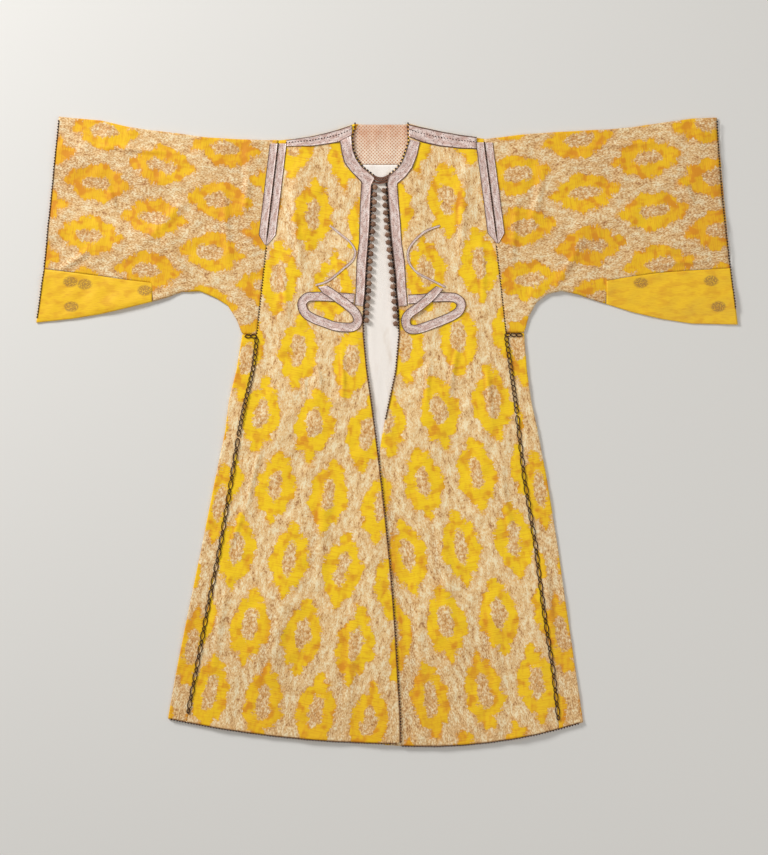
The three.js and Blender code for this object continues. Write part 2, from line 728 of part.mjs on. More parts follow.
// The edging round the cuff shows along the front layer of the sleeve, nearly up to its fold, and along
// that of its gusset.
const CUFF_TOP = 0.98;

function cuffEdging(name) {
  const side = SIDES[name];
  const sleeveEnd = side.sleeve.at(-1);
  const gussetEnd = side.gusset.at(-1);
  const stations = [...SLEEVE_COLUMNS, CUFF_TOP].map((u) => ({
    out: THREE.MathUtils.lerp(sleeveEnd.lowOut, sleeveEnd.topOut, u) + side.bulge * 4 * u * (1 - u),
    y: THREE.MathUtils.lerp(sleeveEnd.lowY, sleeveEnd.topY, u),
  })).reverse();
  stations.push({ out: gussetEnd.seamOut, y: gussetEnd.seamY });
  const t = (gussetEnd.seamY - gussetEnd.stepY) / (gussetEnd.seamY - gussetEnd.lowY);
  stations.push({ out: THREE.MathUtils.lerp(gussetEnd.seamOut, gussetEnd.lowOut, t), y: gussetEnd.stepY });
  const laid = stations.map(({ out, y }) => ({
    a: { out: out - GAP, y, z: TRIM_UNDER },
    b: { out: out - GAP - EDGING_WIDTH, y, z: TRIM_UNDER },
  }));
  return strip(side.sign, laid, GALLOON);
}

// A knot of silk cord, a squashed ball that hangs just inside the front edge, on the lining.
const KNOTS = { right: 19, left: 19 };
const KNOT_ROUND = 8;
const KNOT_RINGS = 4;

// The cut edge of a front over the whole height of its row of knots.
function edgeRows(side) {
  const low = { out: side.skirt[1].edge, y: side.skirt[1].y };
  return [...side.neck, { out: side.skirt[0].edge, y: side.skirt[0].y }, low];
}

function knotAt(name, i) {
  const side = SIDES[name];
  const y = side.firstKnot - i * KNOT_PITCH;
  const edge = columnAt(edgeRows(side), "out", y);
  const out = edge - KNOT_RADIUS - 2 * GAP;
  return { x: side.sign * out, y, edge };
}

function knot(name, i) {
  const ball = new THREE.SphereGeometry(1, KNOT_ROUND, KNOT_RINGS);
  const { x, y } = knotAt(name, i);
  ball.rotateX(Math.PI / 2).scale(KNOT_RADIUS, KNOT_RADIUS, KNOT_HEIGHT / 2);
  return ball.translate(x, y, LINING_TOP + GAP + KNOT_HEIGHT / 2);
}

// One geometry as a solid that can be joined, and back.
function solidFrom(geometry) {
  const bare = geometry.index ? geometry.toNonIndexed() : geometry.clone();
  bare.deleteAttribute("normal");
  bare.deleteAttribute("uv");
  const merged = mergeVertices(bare, 1e-3);
  return new wasm.Manifold(new wasm.Mesh({
    numProp: 3,
    vertProperties: merged.attributes.position.array,
    triVerts: new Uint32Array(merged.index.array),
  }));
}

function geometryFrom(solid) {
  const mesh = solid.getMesh();
  const geometry = new THREE.BufferGeometry();
  geometry.setAttribute("position", new THREE.BufferAttribute(mesh.vertProperties, 3));
  return geometry.setIndex(new THREE.BufferAttribute(mesh.triVerts, 1));
}

// On the wearer's left the knots are worked onto the edging itself, each by a short shank.
const SHANK_WIDTH = 3;

function knottedEdging(name) {
  let solid = solidFrom(frontEdging(name));
  for (let i = 0; i < KNOTS[name]; i++) {
    const { x, y, edge } = knotAt(name, i);
    const sign = SIDES[name].sign;
    const reach = Math.abs(sign * edge - x) + BINDING_WIDTH / 2;
    const shank = new THREE.BoxGeometry(reach, SHANK_WIDTH, GALLOON);
    shank.translate((x + sign * (edge + BINDING_WIDTH / 2)) / 2, y, TRIM_UNDER + GALLOON / 2);
    solid = solid.add(solidFrom(knot(name, i))).add(solidFrom(shank));
  }
  return geometryFrom(solid);
}

// The cotton lining shows only through the front opening, and the printed facing only in the neck.
const LINING_OUTLINE = [
  [-122, 560], [96, 560], [96, 470], [80, 180], [38, -70], [-8, -150], [-62, -70], [-100, 180],
  [-122, 470],
];
const FACING_OUTLINE = [
  [-122, 560.6], [96, 560.6], [94, 596], [78, 624], [43, 634], [42.5, 642], [34, 642], [6, 637],
  [-17, 637], [-38, 640], [-61, 644], [-66, 632], [-98, 622], [-122, 596],
];

piece("back", back(), "brocade");
piece("lining_back", plate(1, LINING_OUTLINE, LINING_UNDER, LINING), "cotton");
piece("neck_facing", plate(1, FACING_OUTLINE, LINING_UNDER, LINING), "print");
for (const name of ["right", "left"]) {
  piece("front_" + name, frontPanel(name), "brocade");
  piece("gore_" + name, gore(name), "brocade");
  piece("sleeve_" + name, sleeve(name), "brocade");
  piece("sleeve_gusset_" + name, gusset(name), "plainSilk");
  piece("front_band_" + name, frontBand(name), "galloon");
  piece("ribbon_loop_" + name, ribbonLoop(name), "galloon");
  piece("chest_cord_" + name, cord(name), "galloon");
  piece("armhole_band_" + name, armholeBand(name), "galloon");
  piece("shoulder_band_" + name, shoulderBand(name), "galloon");
  piece("side_braid_" + name, sideBraid(name), "darkCord");
  piece("underarm_braid_" + name, underarmBraid(name), "darkCord");
  piece("hem_edging_" + name, hemEdging(name), "darkCord");
  piece("cuff_edging_" + name, cuffEdging(name), "darkCord");
}
piece("front_edging_right", frontEdging("right"), "darkCord");
piece("front_edging_left", knottedEdging("left"), "darkCord");
for (let i = 0; i < KNOTS.right; i++) {
  piece("button_" + String(i + 1).padStart(2, "0"), knot("right", i), "knot");
}

export default garment;
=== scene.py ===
import bpy
import numpy as np
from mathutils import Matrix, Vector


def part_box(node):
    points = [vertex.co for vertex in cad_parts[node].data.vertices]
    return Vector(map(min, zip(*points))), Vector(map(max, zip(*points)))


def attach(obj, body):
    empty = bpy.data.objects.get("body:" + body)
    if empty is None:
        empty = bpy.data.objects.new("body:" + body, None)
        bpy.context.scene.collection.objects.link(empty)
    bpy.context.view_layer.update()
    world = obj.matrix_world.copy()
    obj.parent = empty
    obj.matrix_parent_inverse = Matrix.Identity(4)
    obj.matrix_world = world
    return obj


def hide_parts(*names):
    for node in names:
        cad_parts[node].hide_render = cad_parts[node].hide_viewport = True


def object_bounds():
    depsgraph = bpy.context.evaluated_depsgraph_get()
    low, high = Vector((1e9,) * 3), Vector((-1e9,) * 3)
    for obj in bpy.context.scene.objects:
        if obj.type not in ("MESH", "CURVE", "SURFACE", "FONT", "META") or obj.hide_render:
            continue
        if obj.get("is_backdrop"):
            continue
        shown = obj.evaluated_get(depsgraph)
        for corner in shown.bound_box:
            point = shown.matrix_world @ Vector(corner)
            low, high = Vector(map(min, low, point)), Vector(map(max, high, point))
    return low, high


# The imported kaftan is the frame: every piece below takes its place and outline from the CAD nodes.
# It lies face up on the surface, +Y towards the neck and +X towards the wearer's left sleeve.
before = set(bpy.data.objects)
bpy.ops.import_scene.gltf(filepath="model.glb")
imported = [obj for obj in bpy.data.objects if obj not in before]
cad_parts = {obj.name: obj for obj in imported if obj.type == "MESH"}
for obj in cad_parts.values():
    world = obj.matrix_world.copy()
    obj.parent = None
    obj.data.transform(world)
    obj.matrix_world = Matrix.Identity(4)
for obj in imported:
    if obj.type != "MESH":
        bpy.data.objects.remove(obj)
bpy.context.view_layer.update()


# ---- The floor, the light and the camera ---------------------------------------------------------
# A plain pale floor, one soft lamp at the upper left, a weaker one opposite, and a camera that looks
# straight down from 4 m.
VIEW_HEIGHT = 1.7955
VIEW_CENTRE = (-0.0063, 0.0084)
CAMERA_HEIGHT = 4.0
FLOOR_SIZE = 12.0
FLOOR_HEIGHT = -0.0004
WORLD_STRENGTH = 0.37
LAMPS = [
    # name, place, side in metres, watts
    ("key_lamp", (-3.3, 3.1, 2.4), 1.3, 222),
    ("fill_lamp", (2.1, -1.0, 2.9), 2.4, 26),
]


def dye(red, green, blue):
    """A colour given as it looks, 0 to 255 a channel, as the linear colour and alpha of a shader."""
    share = np.array([red, green, blue]) / 255
    linear = np.where(share <= 0.04045, share / 12.92, ((share + 0.055) / 1.055) ** 2.4)
    return (*linear.tolist(), 1.0)


def finish(name, **sockets):
    """A material whose shader's own sockets hold these constant values; underscores are spaces."""
    material = bpy.data.materials.new(name)
    material.use_nodes = True
    shader = material.node_tree.nodes["Principled BSDF"]
    for socket, value in sockets.items():
        shader.inputs[socket.replace("_", " ")].default_value = value
    return material


scene = bpy.context.scene
scene.view_settings.view_transform = "Standard"
scene.world = scene.world or bpy.data.worlds.new("studio")
scene.world.use_nodes = True
surround = scene.world.node_tree.nodes["Background"]
surround.inputs["Color"].default_value = dye(252, 250, 246)
surround.inputs["Strength"].default_value = WORLD_STRENGTH

for name, place, side, watts in LAMPS:
    lamp = bpy.data.lights.new(name, "AREA")
    lamp.size = side
    lamp.energy = watts
    holder = bpy.data.objects.new(name, lamp)
    holder.location = place
    aim = -np.array(place)
    holder.rotation_euler = (np.arccos(-aim[2] / np.linalg.norm(aim)), 0, np.arctan2(-aim[0], aim[1]))
    scene.collection.objects.link(holder)

camera = bpy.data.objects.new("camera", bpy.data.cameras.new("camera"))
camera.data.sensor_width = 36
camera.data.lens = camera.data.sensor_width * CAMERA_HEIGHT / VIEW_HEIGHT
camera.location = (*VIEW_CENTRE, CAMERA_HEIGHT)
scene.collection.objects.link(camera)
scene.camera = camera

half = FLOOR_SIZE / 2
floor_mesh = bpy.data.meshes.new("floor")
floor_mesh.from_pydata(
    [(x, y, FLOOR_HEIGHT) for x, y in ((-half, -half), (half, -half), (half, half), (-half, half))],
    [], [(0, 1, 2, 3)],
)
floor_mesh.materials.append(finish("pale_floor", Base_Color=dye(226, 224, 220), Roughness=0.9))
floor = bpy.data.objects.new("floor", floor_mesh)
scene.collection.objects.link(floor)
floor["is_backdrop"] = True


# ---- The back ------------------------------------------------------------------------------------
# The back is one panel of brocaded silk from the shoulders to the hem. It lies flat on the surface
# under everything else, and is seen from the front only as a sliver behind the neck.
CLOTH_WALL = 0.0012
UNDERSIDE_LIFT = 0.0005
BODY_TOP = 0.0046
WEFT_REPEAT = 0.113
WARP_REPEAT = 0.147
SILK = dye(255, 212, 8)
SILK_SHADE = dye(222, 144, 16)
GROUND = dye(240, 199, 138)
GROUND_LIGHT = dye(255, 236, 192)
GROUND_DARK = dye(170, 114, 62)


class Field:
    """A value that changes over a surface: one output of a node tree. Arithmetic adds Math nodes."""

    def __init__(self, tree, socket):
        self.tree, self.socket = tree, socket

    def math(self, operation, *others):
        node = self.tree.nodes.new("ShaderNodeMath")
        node.operation = operation
        for socket, value in zip(node.inputs, (self, *others)):
            join(self.tree, value, socket)
        return Field(self.tree, node.outputs[0])

    def __add__(self, other):
        return self.math("ADD", other)

    def __sub__(self, other):
        return self.math("SUBTRACT", other)

    def __mul__(self, other):
        return self.math("MULTIPLY", other)

    def __truediv__(self, other):
        return self.math("DIVIDE", other)

    def __pow__(self, other):
        return self.math("POWER", other)

    def between(self, low, high):
        """0 below low, 1 above high, and a smooth step from one to the other; low may be the higher."""
        node = self.tree.nodes.new("ShaderNodeMapRange")
        node.interpolation_type = "SMOOTHSTEP"
        for label, value in (("Value", self), ("From Min", low), ("From Max", high)):
            join(self.tree, value, node.inputs[label])
        return Field(self.tree, node.outputs[0])


def join(tree, value, socket):
    """Links a field to a socket, or sets the socket to a plain value."""
    if isinstance(value, Field):
        tree.links.new(value.socket, socket)
    elif value is not None:
        socket.default_value = value


def add(tree, kind, output=0, settings=None, **sockets):
    """One output of a new shader node, with its settings, and its sockets joined by name."""
    node = tree.nodes.new("ShaderNode" + kind)
    for name, value in (settings or {}).items():
        setattr(node, name, value)
    for label, value in sockets.items():
        join(tree, value, node.inputs[label.replace("_", " ")])
    return Field(tree, node.outputs[output])


def coat(material, color, height, strength, distance):
    """Joins a colour and a bump's height to a material's shader."""
    tree = material.node_tree
    shader = tree.nodes["Principled BSDF"]
    join(tree, color, shader.inputs["Base Color"])
    bump = add(tree, "Bump", Height=height, Strength=strength, Distance=distance)
    join(tree, bump, shader.inputs["Normal"])
    return material


def blend(tree, share, low, high):
    """The colour low where share is 0, high where it is 1, and a mix between."""
    node = tree.nodes.new("ShaderNodeMix")
    node.data_type = "RGBA"
    for index, value in ((0, share), (6, low), (7, high)):
        join(tree, value, node.inputs[index])
    return Field(tree, node.outputs[2])


def cloud(tree, x, y, detail=2.0, seed=0.0):
    """Soft noise from about 0.25 to 0.75 over two fields that are already in noise sizes."""
    place = add(tree, "CombineXYZ", X=x, Y=y, Z=seed)
    return add(tree, "TexNoise", Vector=place, Scale=1.0, Detail=detail, Roughness=0.55)


def new_group(name, inputs, outputs):
    """A shader node group with its named sockets: the group, its input fields and its output node."""
    group = bpy.data.node_groups.new(name, "ShaderNodeTree")
    for label, kind in inputs.items():
        group.interface.new_socket(label, in_out="INPUT", socket_type="NodeSocket" + kind)
    for label, kind in outputs.items():
        group.interface.new_socket(label, in_out="OUTPUT", socket_type="NodeSocket" + kind)
    source = group.nodes.new("NodeGroupInput")
    fields = {label: Field(group, source.outputs[label]) for label in inputs}
    return group, fields, group.nodes.new("NodeGroupOutput")


def place_group(tree, group, **values):
    """The named outputs of a group placed in a tree, with its inputs joined by name."""
    node = tree.nodes.new("ShaderNodeGroup")
    node.node_tree = group
    for label, value in values.items():
        join(tree, value, node.inputs[label.replace("_", " ")])
    return {socket.name: Field(tree, socket) for socket in node.outputs}


def medallion_group():
    """One woven medallion about its own centre, in metres: how far inside its outline a point is, and
    how far inside the oval of its middle, both 0 on the line and about 1 at the centre."""
    group, field, out = new_group(
        "woven medallion", {"Across": "Float", "Along": "Float"}, {"Body": "Float", "Middle": "Float"}
    )
    x, y = field["Across"], field["Along"]

    def oval(cx, cy, rx, ry, depth):
        """depth x (1 - the distance from the centre, counted in radii)."""
        square = ((x - cx) / rx) ** 2.0 + ((y - cy) / ry) ** 2.0
        return (square.math("SQRT") * -1 + 1) * depth

    taper = y.math("MINIMUM", 0.0) * 2.8 + 1
    wide = (x.math("ABSOLUTE") / (taper * 0.041)) ** 2.3
    tall = ((y + 0.004).math("ABSOLUTE") / 0.061) ** 2.0
    angle = (x / 0.042).math("ARCTAN2", y / 0.061)
    lobes = (angle * 10).math("COSINE") * 0.05 + (angle * 3 + 0.7).math("COSINE") * 0.035 + 1
    body = lobes - (wide + tall) ** 0.46
    shape = body.math("MAXIMUM", oval(-0.003, 0.065, 0.010, 0.015, 0.22))
    shape = shape.math("MAXIMUM", oval(0.008, 0.058, 0.013, 0.007, 0.2))
    shape = shape.math("MAXIMUM", oval(0.001, -0.064, 0.012, 0.018, 0.25))
    join(group, shape, out.inputs["Body"])
    join(group, oval(0.0, 0.002, 0.0165, 0.035, 0.4), out.inputs["Middle"])
    return group


def brocade_group():
    """The brocade in metres of cloth: half-drop rows of yellow silk medallions on a ground of metal
    thread and brown silk, their outlines stepped from weft to weft."""
    group, field, out = new_group(
        "brocade weave",
        {
            "Weave": "Vector", "Age": "Float", "Silk": "Color", "Silk Shade": "Color",
            "Ground": "Color", "Ground Light": "Color", "Ground Dark": "Color",
        },
        {"Color": "Color", "Height": "Float", "Metal": "Float", "Roughness": "Float"},
    )
    u = add(group, "SeparateXYZ", 0, Vector=field["Weave"])
    v = add(group, "SeparateXYZ", 1, Vector=field["Weave"])
    weft = (v / 0.0021).math("FLOOR")
    ragged_u = u + (cloud(group, u * 95, weft * 0.55, 2.5) - 0.5) * 0.018
    ragged_u = ragged_u + (cloud(group, u * 36, v * 36, 1.0, 21.0) - 0.5) * 0.026
    ragged_v = v + (cloud(group, u * 120, weft * 0.5, 2.5, 7.0) - 0.5) * 0.022
    ragged_v = ragged_v + (cloud(group, u * 36, v * 36, 1.0, 27.0) - 0.5) * 0.026

    medallion = medallion_group()
    body, middle = None, None
    for row in (0, 1):
        x = ragged_u + row * WEFT_REPEAT / 2
        y = ragged_v + row * WARP_REPEAT
        x = x - (x / WEFT_REPEAT).math("ROUND") * WEFT_REPEAT
        y = y - (y / (2 * WARP_REPEAT)).math("ROUND") * (2 * WARP_REPEAT)
        one = place_group(group, medallion, Across=x, Along=y)
        body = one["Body"] if body is None else body.math("MAXIMUM", one["Body"])
        middle = one["Middle"] if middle is None else middle.math("MAXIMUM", one["Middle"])

    thread = cloud(group, u * 420, v * 190, 2.0, 3.0)
    leaf = cloud(group, u * 110, v * 45, 1.5, 11.0)
    fine = cloud(group, u * 640, v * 520, 1.0, 5.0)
    streak = cloud(group, u * 28, v * 560, 2.0, 9.0)
    blotch = cloud(group, u * 42, v * 34, 1.5, 33.0)
    bouquet = cloud(group, u * 190, v * 150, 2.0, 17.0)
    frayed = (fine - 0.5) * 0.16
    yellow = (body + frayed).between(-0.02, 0.02) * (middle + frayed).between(0.04, -0.01)

    tone = thread * 0.38 + leaf * 0.42 + fine * 0.20
    ground = blend(group, tone.between(0.36, 0.475), field["Ground Dark"], field["Ground"])
    ground = blend(group, tone.between(0.48, 0.59), ground, field["Ground Light"])
    rim = body.between(-0.24, -0.01) * bouquet.between(0.42, 0.58) * 0.5
    ground = blend(group, rim, ground, field["Silk Shade"])
    posy = middle.between(0.0, 0.06) * bouquet.between(0.50, 0.60) * 0.3
    ground = blend(group, posy, ground, field["Ground Dark"])
    # The ground darkens with ageing and with painted shade, both carried in one input.
    wear_and_shade = field["Age"] * (thread.between(0.56, 0.40) * 0.55 + 0.12)
    ground = blend(group, wear_and_shade.math("MINIMUM", 1.0), ground, field["Ground Dark"])

    shade = streak.between(0.46, 0.70) * 0.4 + body.between(0.10, -0.02) * 0.25
    shade = shade + blotch.between(0.50, 0.66) * 0.55 + leaf.between(0.50, 0.66) * 0.2
    # The silk turns towards its darker colour with the same ageing and painted shade.
    shade = shade + field["Age"] * 0.55
    silk = blend(group, shade.math("MINIMUM", 1.0), field["Silk"], field["Silk Shade"])
    join(group, blend(group, yellow, ground, silk), out.inputs["Color"])

    plain = yellow * -1 + 1
    join(group, plain * 0.04, out.inputs["Metal"])
    join(group, yellow * 0.04 + 0.58, out.inputs["Roughness"])
    height = plain * (thread * 1.0 + fine * 0.6) + yellow * (streak * 0.7 + 0.4)
    join(group, height, out.inputs["Height"])
    return group


def brocade():
    """The brocade's material, laid by each panel's own weave map, which is in metres of cloth."""
    material = finish("brocaded_silk", Sheen_Weight=0.18, Sheen_Roughness=0.45, Specular_IOR_Level=0.4)
    tree = material.node_tree
    shader = tree.nodes["Principled BSDF"]
    weave = add(tree, "UVMap", settings={"uv_map": "weave"})
    # This attribute darkens the cloth: ageing, plus painted shade beside the creases and a painted
    # shadow beside the lapped front edge.
    age_and_shade = add(tree, "Attribute", 2, settings={"attribute_name": "age_and_shade"})
    woven = place_group(
        tree, brocade_group(), Weave=weave, Age=age_and_shade, Silk=SILK, Silk_Shade=SILK_SHADE,
        Ground=GROUND, Ground_Light=GROUND_LIGHT, Ground_Dark=GROUND_DARK,
    )
    join(tree, woven["Metal"], shader.inputs["Metallic"])
    join(tree, woven["Roughness"], shader.inputs["Roughness"])
    return coat(material, woven["Color"], woven["Height"], 0.7, 0.0007)


def cad_triangles(node):
    """The corners of a CAD node's triangles in metres, as an array of triangle, corner and xyz."""
    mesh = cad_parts[node].data
    points = np.empty(3 * len(mesh.vertices))
    corners = np.empty(len(mesh.loops), dtype=int)
    mesh.vertices.foreach_get("co", points)
    mesh.loops.foreach_get("vertex_index", corners)
    return points.reshape(-1, 3)[corners].reshape(-1, 3, 3)


def corner(node, sign, out, up):
    """The corner of a CAD node that reaches furthest in the direction (out, up), where out is away
    from the centre line on the side given by sign."""
    flat = cad_triangles(node).reshape(-1, 3)[:, :2]
    return flat[np.argmax(sign * flat[:, 0] * out + flat[:, 1] * up)]


def side_line(node, start, end, axis, highest, count):
    """Points along one side of a CAD node from one corner to another, in even steps along an axis, 0
    for X or 1 for Y. Every triangle edge that crosses a step gives a place across it by proportion,
    and the side is the highest or the lowest of those places."""
    triangles = cad_triangles(node)[:, :, :2]
    a = triangles.reshape(-1, 2)
    b = np.roll(triangles, -1, axis=1).reshape(-1, 2)
    step = np.linspace(start[axis], end[axis], count)
    run = b[:, axis] - a[:, axis]
    share = (step[:, None] - a[:, axis]) / np.where(np.abs(run) < 1e-9, 1e-9, run)
    place = a[:, 1 - axis] + share * (b[:, 1 - axis] - a[:, 1 - axis])
    crossed = (share >= 0) & (share <= 1) & (np.abs(run) >= 1e-9)
    if highest:
        across = np.where(crossed, place, -np.inf).max(axis=1)
    else:
        across = np.where(crossed, place, np.inf).min(axis=1)
    line = np.empty((count, 2))
    line[:, axis], line[:, 1 - axis] = step, across
    line[0], line[-1] = start, end
    return line


def front_line(side, cut_edge, count):
    """A front's cut edge, or else its side seam, from the shoulder to the hem."""
    sign = -1 if side == "right" else 1
    top, foot = ((-0.5, 1), (-0.6, -1)) if cut_edge else ((0.5, 1), (1, -0.3))
    node = "front_" + side
    ends = corner(node, sign, *top), corner(node, sign, *foot)
    return side_line(node, *ends, 1, (sign < 0) == cut_edge, count)


def panel_points(near, far, first, last, w):
    """Points of a panel from its four sides: w runs from 0 on the near side to 1 on the far one, and
    rows run from the first side to the last. Each row is the straight line between the two long
    sides, plus how much the short sides bow, in proportion to how near they are (a Coons patch)."""
    rows = len(near)
    w = np.broadcast_to(w, (rows, np.shape(w)[-1]))
    s = np.linspace(0, 1, rows)[:, None]
    grid = []
    for k in (0, 1):
        across = near[:, k, None] * (1 - w) + far[:, k, None] * w
        for line, weight in ((first, 1 - s), (last, s)):
            bowed = np.interp(w, np.linspace(0, 1, len(line)), line[:, k])
            across = across + weight * (bowed - line[0, k] - (line[-1, k] - line[0, k]) * w.clip(0, 1))
        grid.append(across)
    return np.stack(grid, axis=-1)


def cad_top(node, x, y, fallback):
    """The height of a CAD node's upper face over each point of a grid, row by row: in each triangle
    that faces up and holds the point, the height of its plane there, and the highest counts."""
    triangles = cad_triangles(node)
    facing = np.cross(triangles[:, 1] - triangles[:, 0], triangles[:, 2] - triangles[:, 0])[:, 2]
    a, b, c = np.moveaxis(triangles[facing > 1e-10], 1, 0)
    area = (b[:, 0] - a[:, 0]) * (c[:, 1] - a[:, 1]) - (c[:, 0] - a[:, 0]) * (b[:, 1] - a[:, 1])
    top = np.empty(x.shape)
    for row in range(len(x)):
        px, py = x[row][:, None], y[row][:, None]
        wb = ((px - a[:, 0]) * (c[:, 1] - a[:, 1]) - (c[:, 0] - a[:, 0]) * (py - a[:, 1])) / area
        wc = ((b[:, 0] - a[:, 0]) * (py - a[:, 1]) - (px - a[:, 0]) * (b[:, 1] - a[:, 1])) / area
        inside = (wb > -1e-3) & (wc > -1e-3) & (wb + wc < 1.001)
        height = a[:, 2] + wb * (b[:, 2] - a[:, 2]) + wc * (c[:, 2] - a[:, 2])
        best = np.where(inside, height, -1).max(axis=1)
        top[row] = np.where(best < 0, fallback, best)
    return top


def soften(z, times):
    """A grid with each value replaced by the mean of itself and its neighbours, the borders kept."""
    for _ in range(times):
        z[1:-1] = (z[:-2] + z[1:-1] + z[2:]) / 3
        z[:, 1:-1] = (z[:, :-2] + z[:, 1:-1] + z[:, 2:]) / 3
    return z


def mesh_piece(name, points, faces, material):
    """A new piece from its points and faces, which rides on the root body."""
    mesh = bpy.data.meshes.new(name)
    mesh.from_pydata(points.reshape(-1, 3).tolist(), [], faces)
    mesh.materials.append(material)
    mesh.shade_smooth()
    piece = bpy.data.objects.new(name, mesh)
    scene.collection.objects.link(piece)
    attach(piece, "root")
    return piece


def grid_faces(rows, columns, round_columns=False):
    """The quads between neighbouring rows and columns, closed round the columns if asked."""
    r, c = np.meshgrid(np.arange(rows - 1), np.arange(columns - (not round_columns)), indexing="ij")
    d = (c + 1) % columns
    row, next_row = r * columns, (r + 1) * columns
    quads = np.stack([row + c, row + d, next_row + d, next_row + c], -1)
    return quads.reshape(-1, 4)


def set_map(piece, label, values):
    """Stores a pair of numbers for each point as a named UV map."""
    mesh = piece.data
    corners = np.empty(len(mesh.loops), dtype=int)
    mesh.loops.foreach_get("vertex_index", corners)
    layer = mesh.uv_layers.new(name=label)
    layer.uv.foreach_set("vector", values.reshape(-1, 2)[corners].ravel())


def set_value(piece, label, values):
    """Stores one number for each point as a named attribute."""
    layer = piece.data.attributes.new(label, "FLOAT", "POINT")
    layer.data.foreach_set("value", np.asarray(values, dtype=float).ravel())


def cloth(name, points, weave, age_and_shade, material):
    """A panel of cloth over a grid of points: the wall goes down from the points' upper side. weave is
    each point's place in the pattern, in metres of cloth."""
    faces = grid_faces(*points.shape[:2])
    mid = points[len(points) // 2]
    up = np.cross(mid[1] - mid[0], points[len(points) // 2 + 1][0] - mid[0])[2]
    faces = faces if up > 0 else faces[:, ::-1]
    piece = mesh_piece(name, points, faces.tolist(), material)
    set_map(piece, "weave", weave)
    set_value(piece, "age_and_shade", np.broadcast_to(age_and_shade, points.shape[:2]))
    wall = piece.modifiers.new("wall", "SOLIDIFY")
    wall.thickness = CLOTH_WALL
    wall.offset = -1
    return piece


def cut_size(flat):
    """The width, length and area of a panel's cut, from its flat grid of points: the box round it, and
    half the cross product of each cell's diagonals."""
    width, length = flat.reshape(-1, 2).max(axis=0) - flat.reshape(-1, 2).min(axis=0)
    d1 = flat[1:, 1:] - flat[:-1, :-1]
    d2 = flat[1:, :-1] - flat[:-1, 1:]
    area = np.abs(d1[..., 0] * d2[..., 1] - d1[..., 1] * d2[..., 0]).sum() / 2
    return (float(width), float(length)), float(min(area, width * length))


def ripple(x, y, length, seed):
    """A smooth random field about 0 with a spread of about 1: sine waves of one length in seeded
    directions and phases, added up."""
    draw = np.random.default_rng(seed)
    field = np.zeros(np.shape(x))
    for angle, phase, stretch in draw.uniform((0, 0, 0.7), (np.pi, 2 * np.pi, 1.5), (14, 3)):
        along = x * np.cos(angle) + y * np.sin(angle)
        field = field + np.sin(2 * np.pi * along / (length * stretch) + phase)
    return field / np.sqrt(7)


def underside(x, y):
    """How far the cloth that lies on the surface stands off it: shallow troughs, flat between them."""
    return UNDERSIDE_LIFT * np.clip(ripple(x, y, 0.16, 5) * 0.5, 0, 1)


brocade_finish = brocade()
back_right = side_line("back", corner("back", -1, 0.5, 1), corner("back", -1, 1, -0.3), 1, False, 240)
back_left = side_line("back", corner("back", 1, 0.5, 1), corner("back", 1, 1, -0.3), 1, True, 240)
back_shoulder = side_line("back", back_right[0], back_left[0], 0, True, 90)
back_hem = side_line("back", back_right[-1], back_left[-1], 0, False, 90)
back_flat = panel_points(back_right, back_left, back_shoulder, back_hem, np.linspace(0, 1, 90))
back_z = CLOTH_WALL + underside(back_flat[..., 0], back_flat[..., 1])
back = cloth(
    "back_panel", np.dstack([back_flat, back_z]), back_flat - (0.02, -0.05), 0.35,
    brocade_finish,
)
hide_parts("back")
back_cut, back_area = cut_size(back_flat)


# ---- The lining and the neck facing --------------------------------------------------------------
# The white cotton lining shows through the front opening, and a facing of printed cotton lies above
# it inside the neck. Both are sewn in by hand.
LINING_WALL = 0.0009
COTTON_PITCH = 0.0011
COTTON = dye(252, 244, 236)
COTTON_SHADE = dye(232, 218, 204)
PRINT_GROUND = dye(247, 226, 202)
PRINT_DOT = dye(196, 116, 66)
DOT_PITCH = 0.0072


def plain_weave(u, v, pitch):
    """The height of a plain weave over two fields in metres: a product of two waves of one pitch."""
    return (u * (2 * np.pi / pitch)).math("SINE") * (v * (2 * np.pi / pitch)).math("SINE")


def object_xy(tree):
    """The X and Y of the piece's own space, as two fields."""
    place = add(tree, "TexCoord", 3)
    return add(tree, "SeparateXYZ", 0, Vector=place), add(tree, "SeparateXYZ", 1, Vector=place)


def cotton():
    """White cotton over a plain weave, with painted soft shade in faint streaks that run up and down.
    """
    material = finish("white_cotton", Roughness=0.85, Specular_IOR_Level=0.2)
    tree = material.node_tree
    x, y = object_xy(tree)
    soft = cloud(tree, x * 26, y * 9, 3.0)
    color = blend(tree, soft.between(0.48, 0.72), COTTON, COTTON_SHADE)
    height = plain_weave(x, y, COTTON_PITCH) + cloud(tree, x * 900, y * 900) * 1.5
    return coat(material, color, height, 0.3, 0.0002)


def printed_cotton():
    """Cream cotton printed with diagonal rows of small brown-orange dots, closer in tone at the top."""
    material = finish("printed_cotton", Roughness=0.85, Specular_IOR_Level=0.2)
    tree = material.node_tree
    x, y = object_xy(tree)
    along = (x + y) / DOT_PITCH
    across = (x - y) / DOT_PITCH
    near_along = along - along.math("ROUND")
    near_across = across - across.math("ROUND")
    distance = (near_along ** 2.0 + near_across ** 2.0).math("SQRT")
    wobble = (cloud(tree, x * 700, y * 700) - 0.5) * 0.3
    dot = (distance + wobble).between(0.36, 0.22)
    warm = y.between(0.575, 0.64) * 0.35 + cloud(tree, x * 60, y * 60).between(0.45, 0.65) * 0.2
    ground = blend(tree, warm, PRINT_GROUND, PRINT_DOT)
    color = blend(tree, dot * 0.85, ground, PRINT_DOT)
    return coat(material, color, plain_weave(x, y, COTTON_PITCH), 0.3, 0.0002)


